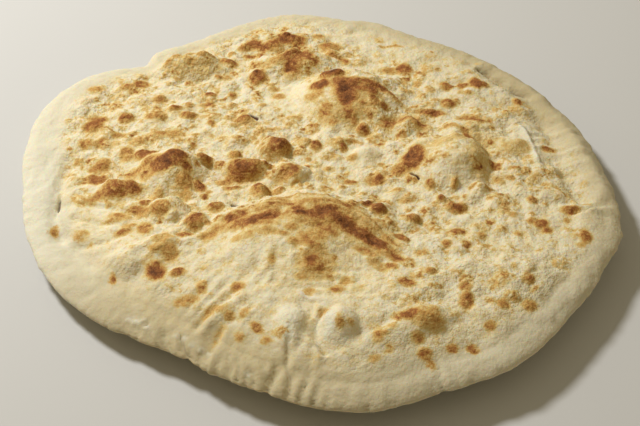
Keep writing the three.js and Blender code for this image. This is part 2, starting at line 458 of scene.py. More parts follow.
# blisters with places of their own: each row holds the values of one, in the order of its fields
BLISTERS = tuple(
    Blister(*values)
    for values in (
        # on and behind the back bubble
        (9.5, 73, 5.0, 3.2, 0.98, 1.4), (3, 65, 4.2, 1.0, 0.95, 1.3), (0, 58, 3.4, 0.4, 0.45, 1.5),
        (6, 46, 4.2, 0.5, 0.64, 1.1, 80), (-13, 46, 2.4, 0.6, 0.5, 1.3),
        (-8.5, 46, 2.0, 0.5, 0.45, 1.4, 90), (-14, 40, 2.0, 0.6, 0.45), (10, 38, 2.4, 0.6, 0.5, 1.3, 100),
        (22, 39, 2.0, 0.6, 0.6, 1.8, 95), (26, 48, 2.2, 0.5, 0.55), (33, 50, 3.2, 0.5, 0.72, 1.2, 90),
        (38, 49, 2.6, 1.0, 0.65, 1.2), (29, 43, 2.0, 0.5, 0.55, 1.2), (30.5, 41, 1.8, 0.8, 0.7, 1.3, 90),
        (-20, 67, 3.0, 0.5, 0.45, 1.2), (-23, 74, 2.4, 0.4, 0.35, 1.3),
        (-32.5, 84, 5.0, 3.8, 0.86, 1.25, 90), (-15.5, 120, 4.2, 0.5, 0.97, 1.3),
        (-17, 109, 3.0, 0.4, 0.55, 1.9), (-35.5, 117, 4.0, 0.6, 0.82, 1.3),
        (-42, 114, 2.4, 0.4, 0.5, 1.5), (-37.5, 108.5, 1.9, 0.8, 0.68, 2.0),
        (-31, 107.5, 1.6, 0.6, 0.5, 1.8, 10), (-48, 110, 1.8, 0.6, 0.55, 1.3),
        (-8, 125, 2.4, 0.3, 0.45, 1.5), (2, 123, 2.4, 0.3, 0.45, 1.4), (10, 105, 3.0, 0.5, 0.45, 1.6),
        (51, 92, 4.4, 1.0, 0.78, 1.1), (43, 91.5, 4.0, 0.6, 0.55, 1.1), (9, 114, 5.2, 1.2, 0.55, 1.3),
        # right of the middle
        (26.5, 33, 3.8, 3.2, 0.65), (1, 18.5, 3.1, 2.2, 0.85, 1.4, 90),
        (13.5, 21, 2.4, 1.0, 0.6, 1.2, 100), (15.5, 17, 2.2, 1.0, 0.8, 1.3, 100),
        (-5.5, 21.5, 3.8, 2.5, 0.35, 1.2, 90), (10, 24, 1.4, 0.5, 0.45, 1.2), (20, 9, 2.4, 1.0, 0.5, 1.1),
        (36, 4, 1.5, 0.5, 0.5, 1.4), (7, 0, 2.2, 0.8, 0.55), (-3, 8, 1.8, 0.6, 0.5),
        (19, -11, 2.0, 0.8, 0.6, 1.8, -15), (15, -16, 1.8, 0.6, 0.5, 1.2), (32, -10, 3.6, 0.9, 0.62, 1.6),
        (-7, -16, 1.4, 0.8, 0.55), (-4, -15, 1.4, 0.8, 0.55), (25, -22, 2.0, 0.8, 0.5, 1.2),
        (58, 78, 2.4, 0.6, 0.5, 1.2, 90), (65, 70, 2.4, 0.5, 0.4, 1.2), (51, 69, 2.6, 0.5, 0.4, 1.3),
        (75, 74.5, 3.8, 1.2, 0.86, 1.1), (83.5, 74.5, 2.8, 1.0, 0.84, 1.3),
        (91, 74.5, 3.2, 1.2, 0.85, 1.7, 100), (95, 73.5, 2.4, 0.8, 0.7, 1.5),
        (86, 66, 1.6, 0.5, 0.45, 2.0), (74.5, 58, 3.6, 1.4, 0.76, 1.2), (79, 60, 1.8, 0.6, 0.5, 1.3),
        (64.5, 49.5, 2.8, 0.8, 0.76, 3.0, -4), (113, 59.5, 2.4, 1.2, 0.8, 1.3, 120),
        (106, 51, 1.6, 0.4, 0.45, 1.6, 90), (100, 53, 1.6, 0.4, 0.4, 1.4, 90), (94, 61, 1.6, 0.4, 0.4),
        (95, 95, 2.0, 0.2, 0.45, 1.6), (52.8, 4, 6.0, 1.0, 1.0, 1.5, 70),
        (45.5, -1.5, 4.2, 0.5, 0.7, 1.4, 45), (73, -17.5, 1.8, 2.0, 0.5, 2.2, 75),
        (60.5, -17, 2.6, 2.0, 0.6, 1.3, 100), (65.5, -28, 2.6, 2.2, 0.65), (62, -30, 1.6, 0.8, 0.5),
        (73.5, -34, 4.4, 2.5, 0.72, 1.3), (96, 2.5, 3.4, 1.5, 0.78, 1.25, 100), (95, 21, 1.8, 0.8, 0.6),
        (83, 24, 2.0, 0.4, 0.68, 2.0, -45), (96, 41, 1.8, 0.5, 0.45, 1.4, 90), (97, 33, 1.8, 0.5, 0.45),
        (62, 35, 1.8, 0.4, 0.4, 1.8), (106, -2, 1.4, 0.4, 0.6, 2.4, -8), (122, -3.5, 2.0, 0.6, 0.6, 1.2),
        (129, -4.5, 1.6, 0.4, 0.4, 1.2), (103, -9.5, 2.0, 0.5, 0.5, 1.2),
        (97, -11, 2.0, 0.4, 0.4, 1.8, -30), (126.5, 19, 2.4, 0.8, 0.72, 1.4),
        (96, -25, 1.6, 0.6, 0.6, 1.5), (112.5, -28, 2.6, 1.2, 0.75, 1.3, 90),
        (130, -35.5, 3.2, 1.0, 0.7, 1.3), (134.5, -34.5, 1.8, 0.5, 0.5, 1.4, -30),
        (129, -43, 1.6, 0.4, 0.5, 1.2), (111, -44, 2.2, 0.5, 0.6, 1.2), (115, -46, 3.2, 0.8, 0.75, 1.1),
        (118, -51, 2.4, 0.5, 0.65, 1.1), (137, -56, 3.0, 0.8, 0.75, 1.6, 95),
        (134, -62, 2.0, 0.3, 0.4, 1.3), (101, -40, 2.0, 0.4, 0.35, 1.3),
        (103, -54.5, 1.8, 0.5, 0.5, 1.3, 90), (84.5, -57, 2.4, 0.8, 0.6, 1.5, 95),
        (86, -65.5, 2.0, 0.6, 0.7, 1.2), (119, -77, 1.8, 0.4, 0.5), (105.5, -91, 2.2, 0.6, 0.55, 1.5, 80),
        (98, -83, 1.6, 0.4, 0.4, 2.0, 90), (72, -54, 3.0, 0.8, 0.7, 1.5), (66, -65, 2.6, 0.8, 0.6),
        (76, -65, 2.6, 0.8, 0.6), (50.5, -44, 4.0, 2.5, 0.65, 1.1), (27, -37.5, 3.2, 2.2, 0.8, 1.2),
        (33, -41, 4.1, 3.2, 0.82), (44, -59.5, 2.6, 0.6, 0.8, 1.8, -30), (54, -72, 3.0, 0.6, 0.5),
        (44, -19, 1.8, 0.5, 0.4, 1.8), (47, -27, 2.0, 0.5, 0.4, 2.0),
        # front right
        (45, -96, 3.2, 1.2, 0.9, 1.4, -30), (38, -83, 2.4, 0.4, 0.6, 1.6, -30), (57, -88, 3, 0.6, 0.55),
        (45, -119, 3.6, 0.8, 0.85, 1.5, 8), (54.5, -121, 6.4, 0.8, 0.44, 1.1), (49, -131, 3.0, 0.6, 0.55),
        (52, -138.5, 3.4, 0.6, 0.6), (54.5, -144, 2.6, 0.4, 0.5, 1.4, 120),
        (65, -134, 2.4, 0.3, 0.68, 1.2), (74.5, -134, 2.8, 0.4, 0.7, 1.2),
        (83.5, -121, 2.4, 0.4, 0.62, 1.2), (73, -107, 3.6, 1.0, 0.75, 1.4, 90),
        (73, -98, 3, 0.6, 0.6, 1.4, 90), (104, -106, 3.6, 0.8, 0.6), (91, -107, 3.5, 0.6, 0.55),
        (104, -91, 3.6, 0.5, 0.46), (12, -128, 2.2, 0.2, 0.48), (17.5, -127, 1.6, 0.2, 0.3),
        (30, -132, 2.6, 0.6, 0.5, 1.4, 90), (37, -126, 2.4, 0.4, 0.4), (28, -143, 2, 0.2, 0.35, 1.4),
        (5, -117, 2.4, 0.4, 0.4, 1.2),
        # on the great front bubble
        # the first, broad and faint, darkens the front flank: partly tan mottling, partly painted shade
        (6, -84, 22, 0.0, 0.07, 1.3), (0, -86, 5.4, 0.4, 0.68, 1.1), (1, -86, 9.5, 0.0, 0.42, 1.1),
        (-6, -94, 2.4, 0.3, 0.4, 1.5), (-1, -70, 6.5, 0.3, 0.5, 1.3), (-9, -73, 3.0, 0.2, 0.4, 1.5),
        (11.5, -101, 3.2, 0.3, 0.74, 1.2), (15, -95, 2.6, 0.2, 0.45, 1.5, 70), (8, -93, 2, 0.3, 0.4),
        (-20.5, -84, 2.0, 0.3, 0.5, 1.5, 90), (-2, -103, 2.4, 0.3, 0.4, 1.3),
        (0, -75, 2.6, 0.3, 0.6, 2.2), (-1, -66, 3, 0.3, 0.45), (8, -64, 4, 0.3, 0.5, 1.3),
        (-10, -63, 3, 0.3, 0.4, 1.6), (26, -74, 3, 0.3, 0.45, 2.0, -30), (10, -80, 2, 0.2, 0.4),
        (-24, -66, 3, 0.3, 0.4, 2.0), (-35, -68, 3, 0.3, 0.4, 2.2, 10), (-16, -68, 2, 0.2, 0.35, 2.0),
        (31, -82, 3, 0.3, 0.4, 2.0, -40),
        # left of the middle
        (-37, -3, 7.6, 0.3, 0.8, 1.3, 8), (-47, -8, 3.4, 0.5, 0.7, 1.4, 20),
        (-19.5, 14.5, 6.0, 0.3, 0.8, 1.15), (-24.5, 2, 3.2, 2.8, 0.75), (-59, 8, 5.0, 5.0, 0.75),
        (-62, 1, 1.8, 0.8, 0.6), (-60, -13.5, 3.2, 1.5, 0.88, 1.5, 100), (-55, -18, 1.8, 0.6, 0.5),
        (-28, -20, 5.4, 0.3, 0.72, 1.2, 80), (-27, -23, 2.0, 0.3, 0.6), (-42, -15, 2.8, 0.8, 0.6, 1.4),
        (-46, -14, 1.8, 0.5, 0.4, 1.4), (-19, -19, 3.4, 2.0, 0.5, 1.2), (-42.5, 13, 3.2, 1.8, 0.65, 1.2),
        (-14, -8.5, 5.2, 0.3, 0.7, 1.3, 10), (-4.5, 0, 2.4, 0.3, 0.7, 1.1),
        (-39, 43.5, 4.4, 3.0, 0.68, 1.1), (-44, 39, 2.0, 0.6, 0.45, 1.3),
        (-58.5, 69.5, 3.0, 1.5, 0.78, 1.2), (-60.5, 60, 3.4, 0.8, 0.62, 1.3),
        (-46, 70, 2.6, 1.2, 0.65, 1.3, 90), (-29, 58, 2.2, 0.8, 0.5, 1.2, 60), (-57, 43, 2.4, 0.9, 0.6),
        (-48, 46, 1.8, 0.6, 0.45), (-66, 24, 1.8, 0.6, 0.5), (-33, 27, 2.0, 1.0, 0.6, 1.2, 90),
        (-66, 32, 1.6, 0.5, 0.45, 2.0), (-56, 32, 1.6, 0.4, 0.4), (-54, 49, 1.4, 0.4, 0.4, 1.8),
        (-50.5, -32, 4.2, 3.5, 0.68), (-60.5, -46.5, 5.0, 0.4, 0.78, 1.3, 100),
        (-54, -48, 2.2, 0.8, 0.55, 1.2, -20), (-64.5, -57.5, 3, 1.0, 0.75, 1.6),
        (-78, -3, 5.5, 0.3, 0.9, 2.0, 8), (-73, 1, 4, 0.3, 0.95, 1.6), (-87, -7, 4, 0.3, 0.55, 1.5, 30),
        (-68, -13, 4.6, 0.3, 0.6, 1.2, 80), (-68, -4, 3.2, 0.3, 0.76, 1.4, -40),
        (-67, -21, 3.5, 0.3, 0.4), (-82, -23, 2.8, 0.3, 0.5, 2.2, 75), (-90.5, 12.5, 4.8, 2.0, 0.88, 1.4),
        (-85.5, 13, 2.8, 2.0, 0.6), (-100, 12, 3, 0.8, 0.6, 1.2), (-103, -17.5, 6, 0.3, 0.78, 1.5, 8),
        (-96, -16.5, 5, 0.3, 0.86, 1.1), (-111, -20, 4, 0.3, 0.58, 1.4, 20),
        (-115, -5.5, 4.4, 0.8, 0.72, 1.3), (-117, 5, 4, 0.8, 0.5), (-113, 8, 4, 0.8, 0.6),
        (-78.5, -38, 4.8, 0.4, 0.72, 1.1), (-87.5, -28, 2.8, 0.8, 0.8, 1.2),
        (-92, -33, 3, 0.8, 0.65, 1.6), (-87, -36, 4.0, 1.5, 0.5, 1.2), (-100, -37, 4, 0.6, 0.4, 1.5),
        (-116, -24, 2.4, 0.4, 0.5, 1.4), (-107, -27, 2, 0.4, 0.4), (-86, -48.5, 3.6, 0.8, 0.68, 1.5, 100),
        (-97, -50, 2.6, 0.4, 0.6, 1.7, 15), (-94, -45, 2.6, 0.4, 0.45, 1.6),
        (-74, -61, 2.8, 0.3, 0.5, 1.6, -20), (-78, -81, 4.6, 0.6, 0.88, 1.3, 115),
        (-71.5, -71, 4.2, 0.4, 0.54, 1.3, -35), (-77, -64, 2.8, 0.3, 0.42, 1.8, -35),
        (-67, -83.5, 3, 0.8, 0.75, 1.4), (-78.5, -69, 2.8, 0.4, 0.48, 1.2),
        (-99.5, -82, 1.7, 0.5, 0.6, 2.2, 90), (-54, -95, 2.6, 0.6, 0.6, 1.4, 90),
        (-36.5, -97, 2.8, 0.8, 0.7, 1.2), (-62, -101, 3, 0.4, 0.5, 2.2),
        (-40, -114.5, 2.4, 0.6, 0.42, 1.2), (-33, -115, 2, 0.4, 0.35, 2.0, 50),
        (-26.5, -123, 2.1, 0.6, 0.62, 1.8, -45), (-22.5, -130.5, 1.9, 0.5, 0.5, 1.4),
        (-35, -126, 2.2, 0.6, 0.45, 1.2), (-18, -127, 1.4, 0.3, 0.3, 1.4, 90),
        # back left
        (-120.5, 49, 5.0, 0.8, 0.82, 1.1), (-122, 42, 5.0, 0.8, 0.82, 1.1),
        (-124.5, 26.5, 3.6, 0.8, 0.72, 1.2), (-117, 27, 3, 0.5, 0.5, 1.6, 40),
        (-104.5, 49, 3.8, 1.2, 0.72, 1.2), (-91, 49, 3.5, 1.0, 0.5), (-86, 50, 3.8, 1.8, 0.68),
        (-78, 56, 3.2, 1.0, 0.6, 1.3), (-69.5, 50, 3.6, 1.5, 0.68, 1.3),
        (-70, 60, 2.4, 0.8, 0.5, 1.4, 80), (-85, 33, 4, 0.8, 0.5, 1.7), (-106, 34, 3, 0.6, 0.45, 2.0),
        (-96, 26, 4.2, 1.0, 0.45, 1.2), (-108, 26, 3, 0.6, 0.4), (-127, 12, 2.2, 0.4, 0.4, 1.4),
        (-87, 66, 3.6, 1.0, 0.62, 1.1), (-98.5, 81.5, 3.8, 0.8, 0.7, 1.2),
        (-124.5, 77, 3.4, 0.6, 0.5, 1.6), (-106.5, 78.5, 3.2, 0.6, 0.6, 1.5),
        (-49.5, 99.5, 3.2, 0.8, 0.82, 1.8, -10), (-79, 100, 2.2, 0.6, 0.6, 1.3),
        (-84, 93, 2.6, 0.6, 0.42), (-79, 97, 3.0, 1.0, 0.5, 1.2), (-72, 99, 2.4, 0.9, 0.45, 1.4),
        (-65, 98, 3.0, 1.0, 0.5, 1.2), (-70, 92, 3.2, 0.8, 0.4, 1.3), (-60, 100, 2.2, 0.8, 0.45, 1.5),
        (-70, 94, 10, 0.0, 0.22, 1.7), (-54.5, 86, 2.4, 1.2, 0.65), (-78, 34, 4, 0.6, 0.5, 1.6),
        (-114, 5, 5, 0.6, 0.6), (-101, 16, 4, 0.6, 0.6), (-134, -42, 3, 0.4, 0.5, 1.7, 90),
        (-119, -50, 4, 0.3, 0.4),
    )
)

# smooth places, such as the flanks of the large bubbles and the rim at the front
CALMS = (
    Calm(130, 30, 14, 26, 0.75),
    Calm(116, 24, 8, 20, 0.85),
    Calm(90, 60, 24, 20, 0.45),
    Calm(146, -45, 16, 30, 0.8),
    Calm(-4, -76, 54, 38, 0.84),
    Calm(0, -108, 36, 18, 0.9),
    Calm(130, -52, 30, 22, 0.6),
    Calm(102, -64, 40, 34, 0.4),
    Calm(-38, -108, 24, 22, 0.6),
    Calm(-10, -134, 96, 24, 0.9),
    Calm(14, 60, 26, 26, 0.6),
    Calm(-14, 64, 18, 16, 0.88),
    Calm(72, 0, 22, 20, 0.75),
    Calm(28, 13, 10, 9, 0.85),
    Calm(14, -6, 34, 22, 0.35),
    Calm(30, 131, 44, 15, 0.7),
    Calm(108, 18, 11, 8, 0.8),
    Calm(82, -120, 26, 13, 0.75),
    Calm(-78, -4, 20, 18, 0.6),
    Calm(62, 104, 46, 26, 0.6),
    Calm(-114, -46, 24, 34, 0.88),
    Calm(-92, -66, 32, 24, 0.6),
    Calm(-58, -84, 26, 22, 0.7),
)

# toasted bands, most of them on the crests of the bubbles
STREAKS = (
    Streak(((-116, 40), (-110, 35)), 1.2, 0.7),
    Streak(((-95, -2), (-88, 1)), 4.5, 0.55),
    Streak(((-30, -51), (0, -49), (16, -54), (32, -64)), 10.0, 0.38),
    Streak(((15.5, 64), (16.5, 58), (18, 51)), 5.4, 1.0),
    Streak(((8, 46), (20, 43), (30, 47)), 8.0, 0.3),
    Streak(((17.5, 47), (18, 42)), 3.2, 0.72),
    Streak(((20, 61), (27, 60), (32, 57.5)), 5.4, 0.86),
    Streak(((28, 63), (34, 63), (39, 60.5)), 3.6, 0.88),
    Streak(((41, 60), (46, 55.5)), 2.4, 0.66),
    Streak(((-29, 113.5), (-22, 117.5), (-16, 120), (-9, 118.5)), 4.0, 0.82),
    Streak(((-9, 97), (-12, 92), (-13, 88)), 4.6, 0.92),
    Streak(((-16, 97), (-10, 99.5), (-4, 95)), 3.8, 0.76),
    Streak(((-28, 91), (-20, 95)), 3.4, 0.5),
    Streak(((11, 104), (16, 101), (19, 98)), 1.8, 0.75),
    Streak(((5, 114), (9, 118), (14, 115)), 1.8, 0.62),
    Streak(((38, 116), (46, 116), (52, 114)), 1.0, 0.45),
    Streak(((17, 22), (21, 24), (25, 22)), 1.3, 0.5),
    Streak(((-31, 31), (-27, 33), (-22, 34)), 1.4, 0.5),
    Streak(((72, 33.5), (77, 31.5), (82, 28.5)), 1.9, 0.66),
    # painted shade: an olive tint on the right bubble's shaded right flank
    Streak(((88, 28), (90, 12), (86, -4)), 8.0, 0.24),
    # painted shade: a tint in the hollow beside the small bubble by the tear
    Streak(((104, 17), (112, 17)), 5.0, 0.26),
    Streak(((66, 14), (76, 18)), 7.0, 0.3),
    Streak(((81, 44), (86, 42.5), (91, 39)), 3.0, 0.78),
    Streak(((40, 37), (46, 40), (53, 40), (58, 36)), 4.6, 0.7),
    Streak(((82, -19), (86, -16), (91, -20)), 1.3, 0.6),
    Streak(((120, -13), (127, -16), (131, -23)), 1.3, 0.45),
    Streak(((-53, -60), (-50, -57), (-45, -55), (-38, -56), (-28, -59), (-20, -59)), 4.0, 0.5),
    Streak(((-42, -49.5), (-37, -49.5)), 4.6, 0.85),
    Streak(((-51, -134), (-47, -126), (-44, -119)), 2.0, 0.32),
    Streak(((-52, -112), (-47, -109), (-43, -111)), 2.0, 0.45),
    Streak(((-35, -57), (-27, -56), (-20, -54.5)), 5.2, 0.78),
    Streak(((-30, -56), (-24, -55.5)), 4.4, 0.93),
    Streak(((-22, -54), (-15, -52.5), (-9, -51.5)), 1.8, 0.65),
    Streak(((-9, -52), (-3, -54.5), (3, -54), (8, -52), (11, -55)), 3.8, 0.92),
    Streak(((3, -52), (8, -50.5)), 3.8, 1.02),
    Streak(((-8, -57), (0, -60), (8, -59)), 4.0, 0.45),
    Streak(((10, -54), (15, -57.5), (20, -60.5), (27, -64.5), (32, -68)), 4.8, 0.93),
    Streak(((32, -68), (37, -72), (41, -77)), 3.4, 0.68),
    Streak(((-26, -41), (-20, -40), (-14, -42)), 1.8, 0.55),
    Streak(((-21, -46), (-15, -45), (-11, -46)), 2.0, 0.7),
    Streak(((-16, -38), (0, -38), (6, -35), (12, -38)), 1.0, 0.55),
    Streak(((-8, -44), (0, -45), (10, -42)), 2.2, 0.5),
    Streak(((12, -41), (17, -45)), 2.4, 0.7),
    Streak(((19, -45), (27, -50), (35, -59), (41, -67)), 1.2, 0.5),
)

# folds, ridges, cracks and torn places; dark is the painted shade laid in a crease
CREASES = (
    Crease(((12, 132), (18, 128), (24, 131)), 3.0, 1.6),
    Crease(((-52, 118), (-42, 121)), 1.2, 0.9, dark=0.15),
    Crease(((-35.5, 48.5), (-31.5, 44.5)), 0.8, 2.0, dark=1.0),
    Crease(((-31.5, 46.5), (-28.5, 41.5)), 0.9, -1.0, raw=0.8),
    Crease(((51, -6), (55, -11)), 0.6, 1.6, dark=1.0),
    Crease(((-42.5, -28), (-39.5, -30)), 1.1, 1.8, dark=1.0),
    Crease(((-46, -16), (-44, -24), (-42, -31)), 1.6, 1.2),
    Crease(((-133, -14), (-133, -20), (-134, -30)), 0.8, 1.2, dark=0.35),
    Crease(((-133, -18), (-133.4, -25)), 1.0, 1.6, dark=0.6),
    Crease(((-132, 14), (-133.5, 0), (-134.5, -16), (-134, -34), (-129, -48)), 3.8, 3.0),
    Crease(((-130, -48), (-123, -58), (-113, -68), (-100, -78), (-88, -88)), 6.0, 2.4),
    Crease(((-126, 24), (-128, 40), (-122, 56), (-110, 68)), 6.0, 1.4),
    Crease(((-120, -26), (-104, -30), (-92, -36)), 1.8, 1.2),
    Crease(((-124, -36), (-108, -42), (-96, -44)), 1.8, 1.2),
    Crease(((-118, -56), (-106, -56), (-96, -52)), 2.0, 1.2),
    Crease(((98, 87), (110, 75), (119, 64), (125, 50), (129, 38)), 4.8, 3.2),
    Crease(((127, 40), (130, 26), (132, 12), (134, 0), (136, -12), (138, -22)), 7.0, 3.6),
    Crease(((104, 56), (112, 50), (118, 46)), 4.0, 1.6),
    Crease(((113, 35), (115.5, 29.5), (117, 24), (118, 18), (118.5, 11), (118.5, 6)), 1.6, -1.8, raw=1.0),
    Crease(((114, 34), (115.5, 28)), 2.4, -0.5, raw=1.0),
    Crease(((116, 31), (121, 33), (125, 33)), 0.9, -0.9, raw=0.8),
    Crease(((117.5, 25), (122, 28), (127, 31)), 0.9, -0.9, raw=0.8),
    Crease(((118.5, 18), (123, 21)), 0.9, -0.9, raw=0.8),
    Crease(((121, 26), (126, 25)), 5.0, 1.4),
    Crease(((118, 14), (118.5, 10)), 2.2, 0.0, raw=0.9),
    Crease(((105, 19), (112, 14)), 5.0, 2.6),
    Crease(
        ((94, 89.5), (98, 86.5), (104, 80.5), (110, 73.5), (116, 68.5), (120, 65.5)), 1.4, 2.4, dark=0.15
    ),
    Crease(((93, 90), (99, 86)), 1.1, 1.0, dark=0.5),
    Crease(((111, 73), (118, 67.5)), 1.1, 1.0, dark=0.5),
    Crease(((97, 94), (108, 84), (119, 73), (128, 60)), 4.0, -1.4),
    Crease(((122, -34), (130, -37), (139, -38)), 1.5, 0.8),
    Crease(((134, -36.5), (141, -34.5), (146, -30.5), (152, -29.5)), 1.5, 1.8, dark=0.2),
    Crease(((138, -40), (145, -39), (153, -39)), 1.4, 0.6),
    Crease(((138, 30), (144, 12), (148, -4), (151, -20)), 4.5, -1.8),
    Crease(((128, 10), (133, -4), (137, -16), (139, -26)), 4.5, 1.4),
    Crease(((116, -29), (124, -30), (131, -29)), 2.0, 1.2),
    Crease(((155, -48), (161, -50)), 1.0, 1.2, dark=0.4),
    Crease(((-63, -122), (-61, -130), (-57, -137)), 1.4, 2.4, dark=0.4),
    Crease(((-52, -138), (-47, -128), (-44, -121)), 1.6, 2.4, dark=0.15),
    Crease(((-54, -134), (-51, -126), (-46, -118), (-38, -116)), 2.4, 1.2),
    Crease(((-53, -121), (-48, -115), (-42, -110), (-34, -104)), 2.4, -2.0),
    Crease(((-56, -116), (-50, -110), (-44, -105), (-36, -99)), 2.0, 1.4),
    Crease(((-44, -104), (-38, -98), (-33, -90)), 1.6, 0.8),
    Crease(((-30, -112), (-26, -102), (-23, -92)), 1.6, 0.7),
    Crease(((-11, -126), (-11, -137), (-13, -143)), 1.2, 0.9),
    Crease(((0, -127), (-1, -140), (-2, -152)), 1.2, 0.8),
    Crease(((-18, -144), (-20, -152)), 1.2, 1.2, dark=0.3),
    Crease(((0, -110), (-2, -122), (-1, -130)), 1.6, 1.2),
    Crease(((57, -140), (58, -148), (59, -155)), 1.0, 0.9, dark=0.4),
    Crease(((-17, -147), (-20, -154), (-23, -161)), 1.4, 2.4, dark=0.3),
    Crease(((-72, -118), (-70, -126), (-67, -131)), 1.2, 1.4, dark=0.1),
    Crease(((-80, -113), (-79, -119), (-76, -125)), 1.2, 1.2, dark=0.1),
    Crease(((-88, -104), (-87, -111), (-84, -117)), 1.2, 1.0),
    Crease(((-15, -149), (-17, -157)), 1.4, -1.2),
    Crease(((-10, -150), (-12, -161)), 1.4, 2.0, dark=0.15),
    Crease(((-4, -154), (-7, -166)), 1.4, 2.2, dark=0.2),
    Crease(((2, -155), (0, -165)), 1.3, 1.8, dark=0.1),
    Crease(((9, -156), (6, -167)), 1.5, 2.2, dark=0.25),
    Crease(((-12, -133), (-12, -144), (-10, -150)), 1.1, 1.4, dark=0.15),
    Crease(((-31, -146), (-27, -152), (-30, -156)), 1.4, 1.0),
    Crease(((4, -116), (1, -124), (1.5, -132), (5, -140)), 1.4, 3.0, dark=0.4),
    Crease(((17, -50), (26, -56), (34, -64), (40, -73)), 0.9, 0.6),
    Crease(((15, -47), (25, -52), (34, -59), (42, -69)), 1.0, -0.6),
    Crease(((-7, -103), (-3, -107), (3, -109)), 0.8, -0.9, raw=0.9),
    Crease(((-4, -109), (-3, -116)), 4.0, 1.2),
    # painted highlight: flour colour without relief on the lit left side of the pale front bubble and on
    # the lit ridge beside it
    Crease(((7, -119), (8, -130)), 3.2, 0.0, raw=0.85),
    Crease(((-12, -116), (-10, -128)), 4.5, 0.0, raw=0.7),
    Crease(((-100, -60), (-84, -47), (-70, -38)), 1.8, 0.8),
    Crease(((-96, -68), (-80, -58), (-64, -50)), 1.8, 0.8),
    Crease(((-86, -78), (-76, -64), (-60, -53)), 3.0, 1.3),
)

# wrinkled places
WRINKLES = (
    Wrinkles(-38, -106, 26, 22, 50, 3.3, 1.2),
    Wrinkles(104, -58, 26, 20, 100, 3.6, 0.9),
    Wrinkles(-80, -60, 34, 26, 38, 4.5, 1.0),
    Wrinkles(36, -64, 18, 20, -42, 3.5, 1.1),
    Wrinkles(16, 90, 24, 14, -22, 3.6, 1.2),
    Wrinkles(134, 24, 16, 30, -10, 3.6, 1.6),
    Wrinkles(142, -12, 12, 20, -8, 3.6, 1.5),
    Wrinkles(-2, -160, 24, 8, 84, 3.0, 1.8),
    Wrinkles(10, -96, 30, 14, 6, 3.0, 0.7),
    Wrinkles(-2, -84, 40, 26, 88, 3.5, 0.45),
    Wrinkles(20, -30, 30, 14, -20, 4.0, 0.8),
    Wrinkles(-30, -40, 24, 12, 15, 4.0, 0.8),
)

# where the dough lies over itself
LAPS = (
    Lap(((130, -38), (139, -37), (144, -33), (150, -31.5), (155, -32.5), (159, -36)), 3.0, 9.0),
)

# how wide the smooth rim is, in directions round the dough; after it come its flour and its painted shade
RIM_WIDTHS = (
    (0, 6), (15, 4), (30, 1), (45, 0), (70, 1), (90, 4), (120, 7), (134, 6), (148, 14), (165, 20),
    (180, 24), (200, 24), (222, 34), (240, 28), (260, 20), (282, 22), (300, 14), (330, 11),
)
# flour on the rim: partly real dusting, partly a painted highlight, whitest on the left rim towards the
# lamp and absent at the front
RIM_FLOUR_AND_HIGHLIGHT = (
    (0, 0.12), (45, 0.0), (90, 0.2), (120, 0.35), (150, 0.6), (180, 0.85), (198, 0.85), (212, 0.5),
    (225, 0.12), (238, 0.0), (265, 0.0), (285, 0.3), (300, 0.45), (325, 0.4), (345, 0.2),
)
# painted shade: how far the crust darkens towards the edge, most at the right and back right and from the
# front left to the front
RIM_PAINTED_SHADE = (
    (0, 0.4), (20, 0.64), (60, 0.5), (90, 0.2), (130, 0.1), (180, 0.0), (200, 0.1), (218, 0.4), (235, 0.5),
    (252, 0.5), (268, 0.48), (282, 0.38), (300, 0.1),
)
# crumbs of dry flour by the edge, each a place and a half width
CRUMBS = (
    (-89, -109, 1.2), (-86.5, -111, 0.9), (-84, -111, 1.1), (-80, -114.5, 0.8), (-62, -122.5, 0.9),
    (-58, -127, 0.8), (-54, -130.5, 1.0), (-50, -133, 0.7), (-31, -146, 0.9), (-66, -120.5, 0.7),
)
# how far the edge's rounding reaches inwards, and how round it is, from 1 for a sharp lens to 2 for a
# half circle, in directions round the dough
EDGE_DEPTHS = ((0, 12), (45, 9), (135, 9), (180, 11), (205, 17), (235, 18), (262, 14), (285, 13), (340, 13))
EDGE_ROUNDS = (
    (0, 1.4), (45, 1.6), (180, 1.8), (215, 2.0), (245, 1.9), (265, 1.5), (285, 1.35), (340, 1.35),
)
# small bites and corners in the edge: a direction, how far the edge moves in, and how wide in degrees
EDGE_BITES = (
    (133.5, 1.8, 1.6), (334.0, 3.2, 5.0), (342.5, -0.8, 1.5), (84.0, 3.0, 4.0), (76.0, -2.4, 4.0),
    (246, 1.2, 0.9), (251, -0.8, 2.0), (291, 1.2, 0.6), (262, 0.8, 0.8), (232, 0.8, 1.5),
    (62, 0.8, 1.2), (24, 0.8, 1.4),
)


